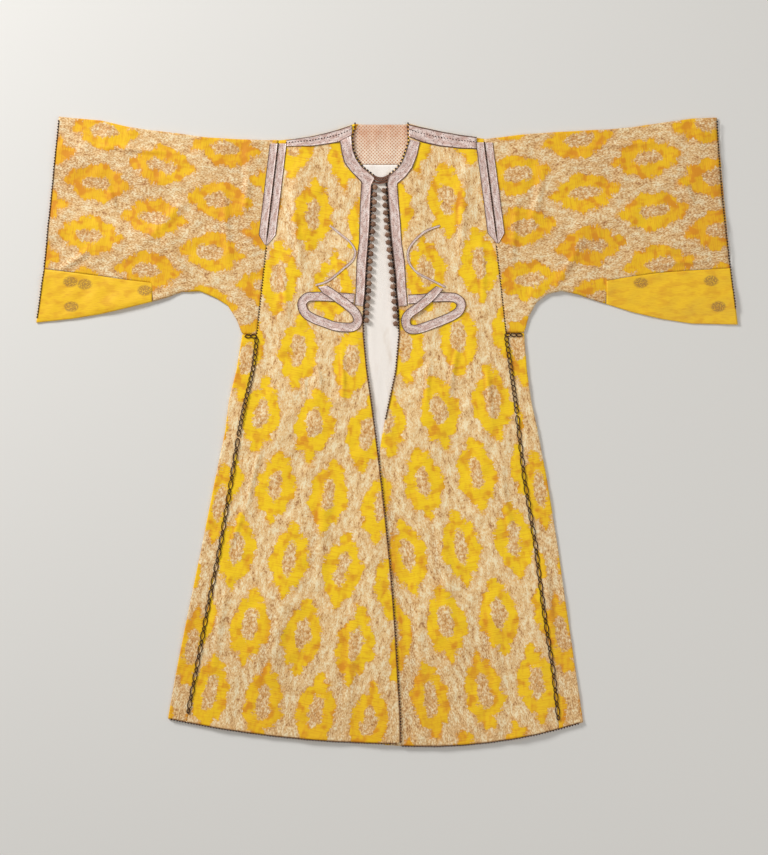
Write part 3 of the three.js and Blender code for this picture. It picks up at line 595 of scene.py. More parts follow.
def inner_panel(node, name, levels, columns, wave, material):
    """A panel inside the opening, between the left and right sides of its CAD node on even levels,
    with shallow creases that run up and down it."""
    low, high = (np.array(p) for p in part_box(node))
    ends = [(0, low[1] + 1e-4), (0, high[1] - 1e-4)]
    sides = []
    for highest in (False, True):
        line = side_line(node, *ends, 1, highest, levels)
        line[0], line[-1] = line[1], line[-2]
        line[0, 1], line[-1, 1] = ends[0][1], ends[1][1]
        sides.append(line)
    w = np.linspace(0, 1, columns)
    flat = sides[0][:, None] * (1 - w)[:, None] + sides[1][:, None] * w[:, None]
    crease = 0.0004 * np.clip(ripple(flat[..., 0] * 3.2, flat[..., 1] * 0.6, wave, 9), -0.4, 1)
    z = high[2] - 0.0004 + crease
    piece = cloth(name, np.dstack([flat, z]), flat, 0, material)
    piece.modifiers["wall"].thickness = LINING_WALL
    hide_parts(node)
    cut, area = cut_size(flat)


inner_panel("lining_back", "lining_cotton", 150, 48, 0.09, cotton())
inner_panel("neck_facing", "neck_facing_print", 40, 60, 0.06, printed_cotton())


# ---- The fronts ----------------------------------------------------------------------------------
# Two panels of the same brocade, lined and interlined, from the shoulder to the hem. They are sewn
# to the back at the shoulders and to the gores at the sides, and the right one laps over the left.
FRONT_COUNTS = (250, 84)
FRONT_WEAVES = {
    # anchor of one medallion, lean of the warp in degrees, and the woven repeat's stretch
    "right": {"anchor": (-0.205, -0.268), "lean": 10.5, "above": 147 / 144, "below": 147 / 153},
    "left": {"anchor": (0.155, -0.243), "lean": -9.0, "above": 147 / 145, "below": 147 / 153},
}
# The pattern is drawn out to the side above FLARE_START, and the left front is darkened in a strip
# just beyond the edge that lies over it: a painted shadow of that edge, with some tarnish.
FLARE, FLARE_START = 0.073, 0.1
SHADOW_TARNISH_AT, SHADOW_TARNISH_WIDTH, SHADOW_TARNISH_TOP = 0.010, 0.008, -0.10
CREASES = [
    # from x, y to x, y, half its width and its height, in metres
    (-0.153, 0.154, -0.134, 0.085, 0.007, 0.0033),
    (-0.172, 0.125, -0.174, 0.055, 0.006, 0.0027),
    (-0.094, 0.185, -0.092, 0.045, 0.009, 0.0036),
    (-0.262, -0.02, -0.300, -0.177, 0.010, 0.0036),
    (-0.297, -0.150, -0.336, -0.262, 0.009, 0.0033),
    (-0.120, -0.10, -0.150, -0.34, 0.022, 0.0033),
    (-0.215, -0.30, -0.245, -0.56, 0.026, 0.0036),
    (-0.070, -0.36, -0.085, -0.62, 0.020, 0.0030),
    (-0.205, 0.50, -0.175, 0.33, 0.014, 0.0027),
    (-0.225, 0.36, -0.205, 0.22, 0.012, 0.0027),
    (0.150, 0.190, 0.128, 0.070, 0.011, 0.0033),
    (0.205, 0.150, 0.222, 0.010, 0.010, 0.0030),
    (0.090, 0.160, 0.080, 0.050, 0.009, 0.0030),
    (0.235, -0.06, 0.262, -0.24, 0.013, 0.0036),
    (0.110, -0.16, 0.128, -0.40, 0.022, 0.0033),
    (0.215, -0.33, 0.238, -0.58, 0.024, 0.0036),
    (0.060, -0.30, 0.075, -0.62, 0.018, 0.0030),
    (0.165, 0.53, 0.150, 0.36, 0.014, 0.0027),
    (0.195, 0.40, 0.205, 0.26, 0.011, 0.0024),
    (-0.483, 0.425, -0.395, 0.296, 0.013, 0.0036),
    (-0.590, 0.530, -0.566, 0.455, 0.009, 0.0036),
    (-0.690, 0.334, -0.618, 0.385, 0.011, 0.0036),
    (-0.620, 0.598, -0.430, 0.584, 0.008, 0.0027),
    (-0.345, 0.52, -0.330, 0.35, 0.014, 0.0036),
    (-0.290, 0.56, -0.300, 0.44, 0.011, 0.0030),
    (-0.400, 0.50, -0.520, 0.39, 0.018, 0.0036),
    (0.415, 0.410, 0.345, 0.285, 0.013, 0.0036),
    (0.470, 0.470, 0.560, 0.380, 0.012, 0.0036),
    (0.330, 0.560, 0.300, 0.420, 0.013, 0.0036),
    (0.270, 0.500, 0.262, 0.330, 0.011, 0.0033),
    (0.600, 0.560, 0.660, 0.440, 0.014, 0.0036),
    (0.400, 0.596, 0.570, 0.606, 0.008, 0.0024),
    (0.560, 0.350, 0.690, 0.362, 0.009, 0.0027),
    (-0.331, -0.30, -0.372, -0.52, 0.012, 0.0030),
    (0.322, -0.22, 0.352, -0.46, 0.012, 0.0030),
]


def beside_creases(x, y):
    """For each crease, where points lie beside it: half a sine wave along it, 0 past its ends; the
    distance off its line, which bends a little, in half widths; and its height."""
    for x0, y0, x1, y1, half_width, top in CREASES:
        run, rise = x1 - x0, y1 - y0
        length = np.hypot(run, rise)
        t = ((x - x0) * run + (y - y0) * rise) / length ** 2
        off = ((x - x0) * rise - (y - y0) * run) / length + 0.1 * half_width * np.sin(7 * t + 90 * x0)
        yield (t > 0) * (t < 1) * np.sin(np.pi * t.clip(0, 1)), off / half_width, top


def lie(x, y):
    """How far the upper layers of cloth stand above flat: ripples that run mostly down the body, small
    puckers, and the creases, each a raised cosine across that swells and dies away along its line."""
    sleeve = (np.abs(x) > 0.3) & (y > 0.2)
    down = ripple(x * 1.5, y * 0.55, 0.16, 1)
    along = ripple(x * 0.7, y * 1.2, 0.15, 2)
    height = 0.0006 + 0.0009 * np.where(sleeve, along, down) + 0.00042 * ripple(x, y, 0.042, 3)
    for swell, across, top in beside_creases(x, y):
        height = height + swell * top * np.cos(np.pi / 2 * np.clip(np.abs(across), 0, 1)) ** 2
    return np.clip(height, -0.0004, None)


def crease_shade(x, y):
    """How much painted shade lies beside each crease, from 0 to 1: a narrow bell on one flank of its
    line, strongest half way along."""
    painted_shade = np.zeros(np.shape(x))
    for swell, across, _ in beside_creases(x, y):
        painted_shade = np.maximum(painted_shade, swell * np.exp(-((across - 0.75) / 0.3) ** 2))
    return painted_shade


def pattern_map(flat, anchor, lean, along=1.0, across=1.0):
    """A panel's flat points as metres of cloth from one medallion: the warp leans that many degrees
    from up towards +X, and each direction is scaled to the woven repeat."""
    turn = np.radians(lean)
    off = flat - np.array(anchor)
    u = off[..., 0] * np.cos(turn) - off[..., 1] * np.sin(turn)
    v = off[..., 0] * np.sin(turn) + off[..., 1] * np.cos(turn)
    return np.stack([u * across, v * along], axis=-1)


fronts = {}
for side, sign in (("right", -1), ("left", 1)):
    node = "front_" + side
    rows, columns = FRONT_COUNTS
    seam, edge = front_line(side, False, rows), front_line(side, True, rows)
    shoulder = side_line(node, seam[0], edge[0], 0, True, columns)
    hem = side_line(node, seam[-1], edge[-1], 0, False, columns)
    flat = panel_points(seam, edge, shoulder, hem, np.linspace(0, 1, columns))
    x, y = flat[..., 0], flat[..., 1]
    z = soften(cad_top(node, x, y, BODY_TOP), 6) + lie(x, y)
    weave = FRONT_WEAVES[side]
    laid = pattern_map(flat, weave["anchor"], weave["lean"])
    laid[..., 1] *= np.where(laid[..., 1] > 0, weave["above"], weave["below"])
    laid[..., 0] -= sign * FLARE * np.clip(y - FLARE_START, 0, None)
    # Darker towards the hem, a little darker high up and at random, with painted shade beside each
    # crease.
    age_and_shade = 0.6 * np.clip((-0.36 - y) / 0.3, 0, 1) + 0.1 * np.clip((y - 0.2) / 0.3, 0, 1)
    age_and_shade = age_and_shade + 0.1 * np.clip(ripple(x, y, 0.25, 31), -1, 1) + crease_shade(x, y)
    if side == "right":
        top_edge = edge
    else:
        # Painted shadow of the right front's edge on the left front, with some tarnish: a soft strip
        # just beyond that edge.
        beyond = x - np.interp(-y, -top_edge[:, 1], top_edge[:, 0])
        edge_shadow_and_tarnish = np.exp(-(((beyond - SHADOW_TARNISH_AT) / SHADOW_TARNISH_WIDTH) ** 2))
        age_and_shade = age_and_shade + 0.8 * edge_shadow_and_tarnish * np.clip((SHADOW_TARNISH_TOP - y) / 0.05, 0, 1)
    age_and_shade = np.clip(age_and_shade, 0, 1)
    fronts[side] = cloth(node + "_panel", np.dstack([flat, z]), laid, age_and_shade, brocade_finish)
    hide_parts(node)


# ---- The gores -----------------------------------------------------------------------------------
# A long wedge of brocade let into each side seam from the underarm to the hem. It is folded flat
# down its middle, so that half of it lies beside the front and half beside the back.
GORE_WEAVES = {
    "right": {"anchor": (-0.351, -0.152), "lean": 10.9},
    "left": {"anchor": (0.321, -0.123), "lean": -8.6},
}
GORE_STRETCH = 294 / 306
FOLD_RADIUS = 0.0023


def folded_panel(node, near, far, first, last, counts, weave, age_and_shade, material, step):
    """A panel folded flat on itself along its far side: the upper layer from the near side to the
    fold, half a turn of the wall's own height round it, and the lower layer back on the surface. The
    place across is the distance from the fold; the height runs up and down a half circle there."""
    upper, turn, lower = counts
    fold = FOLD_RADIUS
    width = np.linalg.norm(far - near, axis=1)[:, None]
    angle = np.concatenate([
        np.full(upper, 90.0), np.linspace(90, -90, turn + 2)[1:-1], np.full(lower, -90.0),
    ])
    reach = np.concatenate([np.linspace(1, 0, upper), np.zeros(turn), np.linspace(0, 1, lower)])
    turned = np.radians(angle)
    from_fold = fold * (1 - np.cos(turned)) + (width - fold) * reach
    flat = panel_points(near, far, first, last, 1 - from_fold / width)
    x, y = flat[..., 0], flat[..., 1]
    off_fold = (1 - from_fold / width).clip(0, 1 - 1.3 * fold / width)
    clear = panel_points(near, far, first, last, off_fold)
    top = soften(cad_top(node, clear[..., 0], clear[..., 1], BODY_TOP), step) + lie(x, y)
    share = (1 + np.sin(turned)) / 2
    z = top * share + underside(x, y) * (1 - share)
    before = np.where(angle > 89, width - from_fold, width - fold + fold * (np.pi / 2 - turned))
    before = before + np.where(angle < -89, from_fold - fold, 0)
    cut = panel_points(near, far, first, last, before / width)
    piece = cloth(node + "_panel", np.dstack([flat, z]), weave(cut), age_and_shade(x, y), material)
    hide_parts(node)
    size, area = cut_size(cut)


for side, sign in (("right", -1), ("left", 1)):
    node = "gore_" + side
    seam = side_line(node, corner(node, sign, -1, 1), corner(node, sign, -0.3, -1), 1, sign < 0, 170)
    fold_top, fold_foot = corner(node, sign, 0.3, 1), corner(node, sign, 1, -0.2)
    fold = side_line(node, fold_top, fold_foot, 1, sign > 0, 170)
    top = np.linspace(seam[0], fold[0], 20)
    foot = side_line(node, seam[-1], fold[-1], 0, False, 20)
    folded_panel(
        node, seam, fold, top, foot, (18, 5, 10),
        lambda flat: pattern_map(flat, **GORE_WEAVES[side], along=GORE_STRETCH),
        lambda x, y: 0.2 + 0.55 * np.clip((0.0 - y) / 0.6, 0, 1), brocade_finish, 4,
    )


# ---- The sleeves ---------------------------------------------------------------------------------
# Each wide sleeve is one length of brocade folded along its top, sewn into the armhole with its warp
# running out to the cuff. Its two layers meet in a curved seam under the arm.
SLEEVE_WEAVES = {
    "right": {"anchor": (-0.487, 0.448), "lean": -82.0, "along": 147 / 128.5, "across": 113 / 111},
    "left": {"anchor": (0.414, 0.501), "lean": 83.0, "along": 147 / 138, "across": 113 / 112},
}
for side, sign in (("right", -1), ("left", 1)):
    node = "sleeve_" + side
    seam_start, seam_end = corner(node, sign, -0.3, -1), corner(node, sign, 1, -0.2)
    fold_start, fold_end = corner(node, sign, -1, 0.1), corner(node, sign, 0.2, 1)
    seam = side_line(node, seam_start, seam_end, 0, False, 112)
    fold = side_line(node, fold_start, fold_end, 0, True, 112)
    armhole = side_line(node, seam_start, fold_start, 1, sign < 0, 60)
    cuff = side_line(node, seam_end, fold_end, 1, sign > 0, 60)
    folded_panel(
        node, seam, fold, armhole, cuff, (84, 6, 34),
        lambda flat: pattern_map(flat, **SLEEVE_WEAVES[side]),
        # Darker out towards the cuff and at random, with painted shade beside each crease.
        lambda x, y: np.clip(
            0.62 + 0.2 * np.clip((np.abs(x) - 0.5) / 0.2, 0, 1) + 0.15 * ripple(x, y, 0.2, 32)
            + crease_shade(x, y), 0, 1),
        brocade_finish, 4,
    )


# ---- The pieces let in under the sleeves ---------------------------------------------------------
# Plain yellow silk with a few small woven ovals closes each sleeve from the underarm to the cuff. It
# is folded along its lower edge, so that one layer lies on the other.
PLAIN_SILK = dye(250, 200, 24)
PLAIN_SILK_SHADE = dye(226, 160, 22)
OVAL = dye(150, 104, 52)
OVAL_LONG, OVAL_TALL = 0.0172, 0.0125
OVALS = [
    (-0.664, 0.314), (-0.634, 0.309), (-0.662, 0.262), (-0.508, 0.296),
    (0.533, 0.312), (0.680, 0.316), (0.695, 0.262),
]


def plain_silk():
    """Yellow silk with slubs and faint wavy lines along the sleeve, and small brown ovals."""
    material = finish("plain_yellow_silk", Roughness=0.5, Sheen_Weight=0.25, Sheen_Roughness=0.4)
    tree = material.node_tree
    x, y = object_xy(tree)
    slub = cloud(tree, x * 60, y * 900, 2.0)
    broad = cloud(tree, x * 30, y * 60, 2.0, 4.0)
    oval = None
    for cx, cy in OVALS:
        apart = (((x - cx) / OVAL_LONG) ** 2.0 + ((y - cy) / OVAL_TALL) ** 2.0).math("SQRT")
        oval = apart if oval is None else oval.math("MINIMUM", apart)
    speckle = cloud(tree, x * 420, y * 420, 2.0, 2.0)
    mask = (oval + (speckle - 0.5) * 0.9).between(1.05, 0.75) * speckle.between(0.36, 0.52) * 0.8
    shade = slub.between(0.45, 0.65) * 0.45 + broad.between(0.45, 0.65) * 0.45
    color = blend(tree, mask, blend(tree, shade, PLAIN_SILK, PLAIN_SILK_SHADE), OVAL)
    return coat(material, color, slub + speckle * 0.5, 0.4, 0.0004)


plain_silk_finish = plain_silk()
for side, sign in (("right", -1), ("left", 1)):
    node = "sleeve_gusset_" + side
    start, end = corner(node, sign, -1, 0.3), corner(node, sign, 0.4, 1)
    fold_start, fold_end = corner(node, sign, -1, -0.3), corner(node, sign, 1, -0.3)
    seam = side_line(node, start, end, 0, True, 70)
    fold = side_line(node, fold_start, fold_end, 0, False, 70)
    armhole = np.linspace(seam[0], fold[0], 20)
    cuff = np.linspace(seam[-1], fold[-1], 20)
    folded_panel(
        node, seam, fold, armhole, cuff, (30, 5, 14),
        lambda flat: flat, lambda x, y: 0 * x, plain_silk_finish, 1,
    )


# ---- The galloon ---------------------------------------------------------------------------------
# A woven braid of silvered thread, with a brown cord along each edge, is sewn round the neck and
# down the fronts, along the shoulders and over the armhole seams, which two widths cover.
GALLOON_HEIGHT = 0.0012
TRIM_GAP = 0.0003
RIB_PITCH = 0.0021
CORD_TWIST = 0.0032
GALLOON = dye(218, 182, 170)
GALLOON_LIGHT = dye(250, 230, 222)
GALLOON_DARK = dye(150, 108, 98)
FLECK = dye(84, 56, 56)
CORD_BROWN = dye(84, 50, 30)
BLACK_SILK = dye(22, 12, 10)
STITCH = {"length": 0.0034, "width": 0.0026, "height": 0.0013}
STITCH_PITCH = 0.0062
# How far the neck band reaches towards the cut edge and past its start, and the shoulder band past
# its ends at the sleeve and at the neck.
BAND_REACH, BAND_START = 0.0018, 0.007
SHOULDER_REACH, NECK_REACH = 0.006, 0.003
CROSS_SECTION = [
    # across the band from -1 to 1, and up in shares of its height
    (-1.0, 0.0), (-1.0, 0.45), (-0.96, 0.85), (-0.91, 0.98), (-0.86, 0.85), (-0.82, 0.55),
    (-0.5, 0.6), (0.0, 0.66), (0.5, 0.6), (0.82, 0.55), (0.86, 0.85), (0.91, 0.98), (0.96, 0.85),
    (1.0, 0.45), (1.0, 0.0),
]


def galloon():
    """Silvered galloon by its trim map, across from -1 to 1 and along in metres: ribs across, loose
    dark flecks, darker patches, and the brown cords at its edges with their twist."""
    material = finish("silvered_galloon", Roughness=0.42, Specular_IOR_Level=0.5)
    tree = material.node_tree
    trim = add(tree, "UVMap", settings={"uv_map": "trim"})
    across = add(tree, "SeparateXYZ", 0, Vector=trim)
    along = add(tree, "SeparateXYZ", 1, Vector=trim)
    rib = (along * (2 * np.pi / RIB_PITCH) + across * 3).math("SINE")
    patch = cloud(tree, across * 1.6, along * 55, 2.0)
    tarnish = cloud(tree, across * 0.6, along * 14, 2.0, 8.0)
    dash = cloud(tree, across * 5.5, along * 420, 1.5, 4.0)
    color = blend(tree, patch.between(0.36, 0.62), GALLOON, GALLOON_LIGHT)
    color = blend(tree, tarnish.between(0.5, 0.72) * 0.45, color, GALLOON_DARK)
    color = blend(tree, dash.between(0.555, 0.64) * 0.75, color, FLECK)
    edge = across.math("ABSOLUTE").between(0.80, 0.86)
    color = blend(tree, edge * 0.92, color, CORD_BROWN)
    join(tree, (edge * -1 + 1) * 0.15, tree.nodes["Principled BSDF"].inputs["Metallic"])
    twist = (along * (2 * np.pi / CORD_TWIST) + across * 40).math("SINE")
    return coat(material, color, rib * 0.25 + dash + twist * edge * 0.6, 0.6, 0.0004)


def dark_silk(name, color, light):
    """Twisted silk cord in a dark colour, with painted highlights on its strands, stronger in patches.
    """
    material = finish(name, Roughness=0.7, Specular_IOR_Level=0.3)
    tree = material.node_tree
    place = add(tree, "TexCoord", 3)
    strand = add(tree, "TexNoise", Vector=place, Scale=1300.0, Detail=2.0)
    highlight_patches = add(tree, "TexNoise", Vector=place, Scale=60.0, Detail=2.0)
    # Painted highlights on the strands, stronger in soft patches.
    share = strand.between(0.5, 0.68) * (highlight_patches.between(0.4, 0.65) * 0.5 + 0.3)
    return coat(material, blend(tree, share, color, light), strand, 0.5, 0.0004)


def cloth_under(side, x, y):
    """The height of the cloth under points on one side of the body: the highest panel there."""
    x, y = np.atleast_2d(x), np.atleast_2d(y)
    tops = [cad_top(part + side, x, y, 0.0) for part in ("front_", "sleeve_", "gore_")]
    top = np.max(tops, axis=0)
    return np.where(top < 0.001, BODY_TOP, top) + lie(x, y)


def solid_faces(rows, columns):
    """The faces of a tube of closed rows, with a cap on each end."""
    quads = grid_faces(rows, columns, round_columns=True).tolist()
    return quads + [list(range(columns))[::-1], list(range((rows - 1) * columns, rows * columns))]


def outward(points, faces):
    """The faces turned to point outwards: the sum of the signed volumes under them is above zero."""
    total = 0.0
    flat = points.reshape(-1, 3)
    for size in {len(face) for face in faces}:
        corners = flat[np.array([face for face in faces if len(face) == size])]
        for k in range(1, size - 1):
            total += np.einsum("ij,ij->", corners[:, 0], np.cross(corners[:, k], corners[:, k + 1]))
    return faces if total > 0 else [face[::-1] for face in faces]


def band(name, left, right, side, material, lift=0.0, height=GALLOON_HEIGHT):
    """A band of galloon between two lines of points: the cross-section carried from rung to rung, and
    each rung laid on the highest cloth under its middle and its two ends."""
    middle = (left + right) / 2
    rungs = np.stack([left, middle, right], axis=1)
    base = cloth_under(side, rungs[..., 0], rungs[..., 1]).max(axis=1)
    base = np.convolve(np.pad(base, 2, "edge"), np.ones(5) / 5, "valid") + TRIM_GAP + lift
    section = np.array(CROSS_SECTION)
    flat = middle[:, None] + (right - left)[:, None] / 2 * section[:, :1]
    z = base[:, None] + height * section[:, 1]
    points = np.dstack([flat, z])
    faces = outward(points, solid_faces(len(left), len(section)))
    piece = mesh_piece(name, points, faces, material)
    along = np.concatenate([[0], np.cumsum(np.linalg.norm(np.diff(middle, axis=0), axis=1))])
    across, along = np.broadcast_arrays(section[:, 0], along[:, None])
    set_map(piece, "trim", np.dstack([across, along]))
    return piece


def reach_on(line, distance, step):
    """One more point past a line's first one, in the direction from the point step places on."""
    away = line[0] - line[step]
    return line[0] + away * distance / np.linalg.norm(away)


def walk(line, pitch, start):
    """Places at an even pitch along a line of points, and the direction there."""
    steps = np.linalg.norm(np.diff(line, axis=0), axis=1)
    length = np.concatenate([[0], np.cumsum(steps)])
    at = np.arange(start, length[-1], pitch)
    places = np.stack([np.interp(at, length, line[:, k]) for k in (0, 1)], axis=1)
    ahead = np.stack([np.interp(at + 0.001, length, line[:, k]) for k in (0, 1)], axis=1)
    behind = np.stack([np.interp(at - 0.001, length, line[:, k]) for k in (0, 1)], axis=1)
    direction = ahead - behind
    return places, direction / np.linalg.norm(direction, axis=1)[:, None]


def copies(shape, faces, places, directions, heights):
    """Copies of a small shape, turned so that its X lies along each direction: all their points, and
    all their faces."""
    ux, uy = directions[:, 0, None], directions[:, 1, None]
    x = places[:, 0, None] + shape[:, 0] * ux - shape[:, 1] * uy
    y = places[:, 1, None] + shape[:, 0] * uy + shape[:, 1] * ux
    z = heights[:, None] + shape[:, 2]
    first = np.arange(len(places))[:, None, None] * len(shape)
    every = (np.array(faces)[None] + first).reshape(-1, np.shape(faces)[1])
    return np.dstack([x, y, z]).reshape(-1, 3), every.tolist()


def bead(length, width, height, around=8, rings=4):
    """A stitch as a low bead, flat underneath: rings of an ellipse that shrink as a quarter of a
    circle towards the top, with a small flat cap there."""
    angle = np.linspace(0, 2 * np.pi, around, endpoint=False)
    rise = np.linspace(0, np.pi / 2 * 0.96, rings)[:, None]
    x = np.cos(angle) * np.cos(rise) * length / 2
    y = np.sin(angle) * np.cos(rise) * width / 2
    z = np.sin(rise) * height + 0 * angle
    return np.dstack([x, y, z]).reshape(-1, 3), solid_faces(rings, around)


def stitches(name, line, side, pitch, size, material, shift=0.0, uneven=0.0, lift=0.0):
    """A row of stitches along a line: low beads at a pitch, laid on the cloth, each a little off."""
    shape, faces = bead(**size)
    places, directions = walk(line, pitch, 0.0)
    draw = np.random.default_rng(len(name))
    sideways = np.stack([-directions[:, 1], directions[:, 0]], axis=1)
    off = shift + uneven * draw.uniform(-1, 1, len(places))
    places = places + sideways * off[:, None]
    heights = cloth_under(side, places[:, 0], places[:, 1])[0] + TRIM_GAP + lift
    quads = [face for face in faces if len(face) == 4]
    caps = [face for face in faces if len(face) != 4]
    points, quad_faces = copies(shape, quads, places, directions, heights)
    _, cap_faces = copies(shape, caps, places, directions, heights)
    return mesh_piece(name, points, outward(points, quad_faces + cap_faces), material)


galloon_finish = galloon()
# The second colour is the painted highlight on the strands.
black_finish = dark_silk("black_silk_stitches", BLACK_SILK, dye(70, 42, 30))
trims = {"right": [], "left": []}
SEAM_STITCH_PITCH, SEAM_DOT_PITCH = 0.0060, 0.0056
for side, sign in (("right", -1), ("left", 1)):
    node = "front_band_" + side
    inner = side_line(node, corner(node, sign, -0.3, 1), corner(node, sign, -1, -0.5), 1, sign < 0, 110)
    outer = side_line(node, corner(node, sign, 1, 0.5), corner(node, sign, 0.5, -1), 1, sign > 0, 110)
    width = np.linalg.norm(outer - inner, axis=1)[:, None]
    inner = inner + (inner - outer) / width * BAND_REACH
    inner, outer = (np.vstack([reach_on(line, BAND_START, 6), line]) for line in (inner, outer))
    neck_band = band(node + "_galloon", inner, outer, side, galloon_finish)
    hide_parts(node)

    node = "shoulder_band_" + side
    top = side_line(node, corner(node, sign, 1, 0.6), corner(node, sign, -1, 0.6), 0, True, 40)
    foot = side_line(node, corner(node, sign, 1, -0.6), corner(node, sign, -1, -0.6), 0, False, 40)
    top, foot = (
        np.vstack([reach_on(line, SHOULDER_REACH, 3), line, reach_on(line[::-1], NECK_REACH, 3)])
        for line in (top, foot)
    )
    shoulder_band = band(node + "_galloon", top, foot, side, galloon_finish)
    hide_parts(node)
    row = stitches(
        node + "_stitches", top * 0.6 + foot * 0.4, side, STITCH_PITCH, STITCH, black_finish,
        lift=GALLOON_HEIGHT * 0.5,
    )

    node = "armhole_band_" + side
    inner_top, outer_top = corner(node, sign, -1, 0.5), corner(node, sign, 0.8, 1)
    tip = corner(node, sign, 0, -1)
    inner = side_line(node, inner_top, tip, 1, sign < 0, 70)
    outer = side_line(node, outer_top, tip, 1, sign > 0, 70)
    middle = (inner + outer) / 2
    split = (outer - inner) * 0.012
    widths = [
        band(node + "_inner", inner[:-1], (middle - split)[:-1], side, galloon_finish),
        band(node + "_outer", (middle + split)[:-1], outer[:-1], side, galloon_finish),
    ]
    for width in widths:
        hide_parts(node)
    seam_row = stitches(
        node + "_stitches", middle[:-8], side, SEAM_STITCH_PITCH, STITCH, black_finish,
        lift=GALLOON_HEIGHT * 0.7,
    )
    below = front_line(side, False, 400)
    open_seam = below[(below[:, 1] < tip[1] - 0.003) & (below[:, 1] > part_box("gore_" + side)[1][1])]
    seam_dots = stitches(
        node + "_seam_dots", open_seam, side, SEAM_DOT_PITCH, STITCH, black_finish, uneven=0.0002
    )
    trims[side] += [neck_band, shoulder_band, row, *widths, seam_row, seam_dots]


# ---- The looped ribbons and the chest cords ------------------------------------------------------
# On each breast a ribbon of the same galloon runs out from the front edge, turns back below itself
# in a long oval, and crosses over its own start. A narrow cord goes on from its tip in an S.
RIBBON_WIDTH = 0.020
CHEST_CORD_WIDTH = 0.0045
RIBBON_ROUTES = {
    # out from the centre line and up, in millimetres
    "right": [
        (69, 279), (105, 282), (149, 283), (168, 281), (178, 269), (172, 249), (154, 237), (132, 228.5),
        (110, 221), (88, 218.5), (71, 219.5), (62, 228), (62, 240), (69, 252), (83, 265), (98, 276),
        (116, 289), (130, 298),
    ],
    "left": [
        (44, 277), (72, 278.5), (98, 281), (125, 282), (144, 279.5), (155, 269), (152, 254), (138, 243),
        (120, 234.5), (98, 226), (76, 218), (60, 214), (46, 216), (40, 226), (40, 237), (48, 248),
        (65, 260), (81, 273), (94, 285),
    ],
}
RIBBON_TIPS = {"right": [(125, 306), (146, 303)], "left": [(103, 305), (118, 298)]}
CHEST_CORD_ROUTES = {
    "right": [
        (150, 307), (136, 311), (122, 317), (92, 341), (71, 361), (67, 378), (76, 395), (98, 414),
        (120, 432),
    ],
    "left": [
        (122, 303), (108, 310), (90, 319), (62, 334), (46, 355), (44, 377), (56, 398), (81, 420),
        (111, 432),
    ],
}


def smooth_route(sign, route, count):
    """A smooth line through a route's points (a centripetal Catmull-Rom spline), in metres, at even
    steps of its length: each span is three rounds of straight blends between its four points, timed
    by the square roots of their distances."""
    points = np.array(route) * (sign / 1000, 1 / 1000)
    points = np.vstack([2 * points[0] - points[1], points, 2 * points[-1] - points[-2]])
    gaps = np.sqrt(np.linalg.norm(np.diff(points, axis=0), axis=1))
    line = []
    for i in range(len(points) - 3):
        t0, t1, t2, t3 = np.concatenate([[0], np.cumsum(gaps[i:i + 3])])
        p0, p1, p2, p3 = points[i:i + 4]
        t = np.linspace(t1, t2, 20, endpoint=False)[:, None]
        a1 = (t1 - t) / (t1 - t0) * p0 + (t - t0) / (t1 - t0) * p1
        a2 = (t2 - t) / (t2 - t1) * p1 + (t - t1) / (t2 - t1) * p2
        a3 = (t3 - t) / (t3 - t2) * p2 + (t - t2) / (t3 - t2) * p3
        b1 = (t2 - t) / (t2 - t0) * a1 + (t - t0) / (t2 - t0) * a2
        b2 = (t3 - t) / (t3 - t1) * a2 + (t - t1) / (t3 - t1) * a3
        line.append((t2 - t) / (t2 - t1) * b1 + (t - t1) / (t2 - t1) * b2)
    line = np.vstack([*line, points[-2]])
    length = np.concatenate([[0], np.cumsum(np.linalg.norm(np.diff(line, axis=0), axis=1))])
    at = np.linspace(0, length[-1], count)
    return np.stack([np.interp(at, length, line[:, k]) for k in (0, 1)], axis=1)


def both_sides(line, width):
    """The two edges of a strip of even width along a line."""
    along = np.gradient(line, axis=0)
    along = along / np.linalg.norm(along, axis=1)[:, None]
    across = np.stack([-along[:, 1], along[:, 0]], axis=1) * width / 2
    return line + across, line - across


for side, sign in (("right", -1), ("left", 1)):
    line = smooth_route(sign, RIBBON_ROUTES[side], 150)
    left, right = both_sides(line, RIBBON_WIDTH)
    tip = np.array(RIBBON_TIPS[side]) * (sign / 1000, 1 / 1000)
    tip = tip if np.linalg.norm(tip[0] - left[-1]) < np.linalg.norm(tip[1] - left[-1]) else tip[::-1]
    left = np.vstack([left, left[-1] * 0.5 + tip[0] * 0.5, tip[0]])
    right = np.vstack([right, right[-1] * 0.5 + tip[1] * 0.5, tip[1]])
    share = np.linspace(0, 1, len(left))
    rise = (GALLOON_HEIGHT + TRIM_GAP) * np.clip((share - 0.66) / 0.07, 0, 1)
    node = "ribbon_loop_" + side
    ribbon = band(node + "_galloon", left, right, side, galloon_finish, lift=rise)
    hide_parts(node)

    node = "chest_cord_" + side
    left, right = both_sides(smooth_route(sign, CHEST_CORD_ROUTES[side], 90), CHEST_CORD_WIDTH)
    cord = band(node + "_braid", left, right, side, galloon_finish, height=0.0011)
    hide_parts(node)
    trims[side] += [ribbon, cord]


# ---- The chain braids ----------------------------------------------------------------------------
# Dark silk chain covers the side seams of the gores from the underarm down: short twisted links in
# the upper part, and below them long open links with a small round one between each two.
LINK_CORD = 0.00105
CHAIN = {
    # where the short links end, in y
    "right": -0.012,
    "left": 0.035,
}
SHORT_LINK = {"length": 0.0142, "width": 0.0094, "pitch": 0.0116}
ARM_LINK = {"length": 0.0150, "width": 0.0088, "pitch": 0.0118}
LONG_LINK = {"length": 0.0225, "width": 0.0100}
ROUND_LINK = {"length": 0.0110, "width": 0.0078}
CHAIN_START = 0.006
DARK_SILK = dye(50, 28, 14)


def loop_faces(around, sides):
    """The quads of a tube of rings that closes on itself."""
    a = np.arange(around * sides).reshape(around, sides)
    b = np.roll(a, -1, axis=0)
    return np.stack([a, np.roll(a, -1, axis=1), np.roll(b, -1, axis=1), b], axis=-1).reshape(-1, 4)


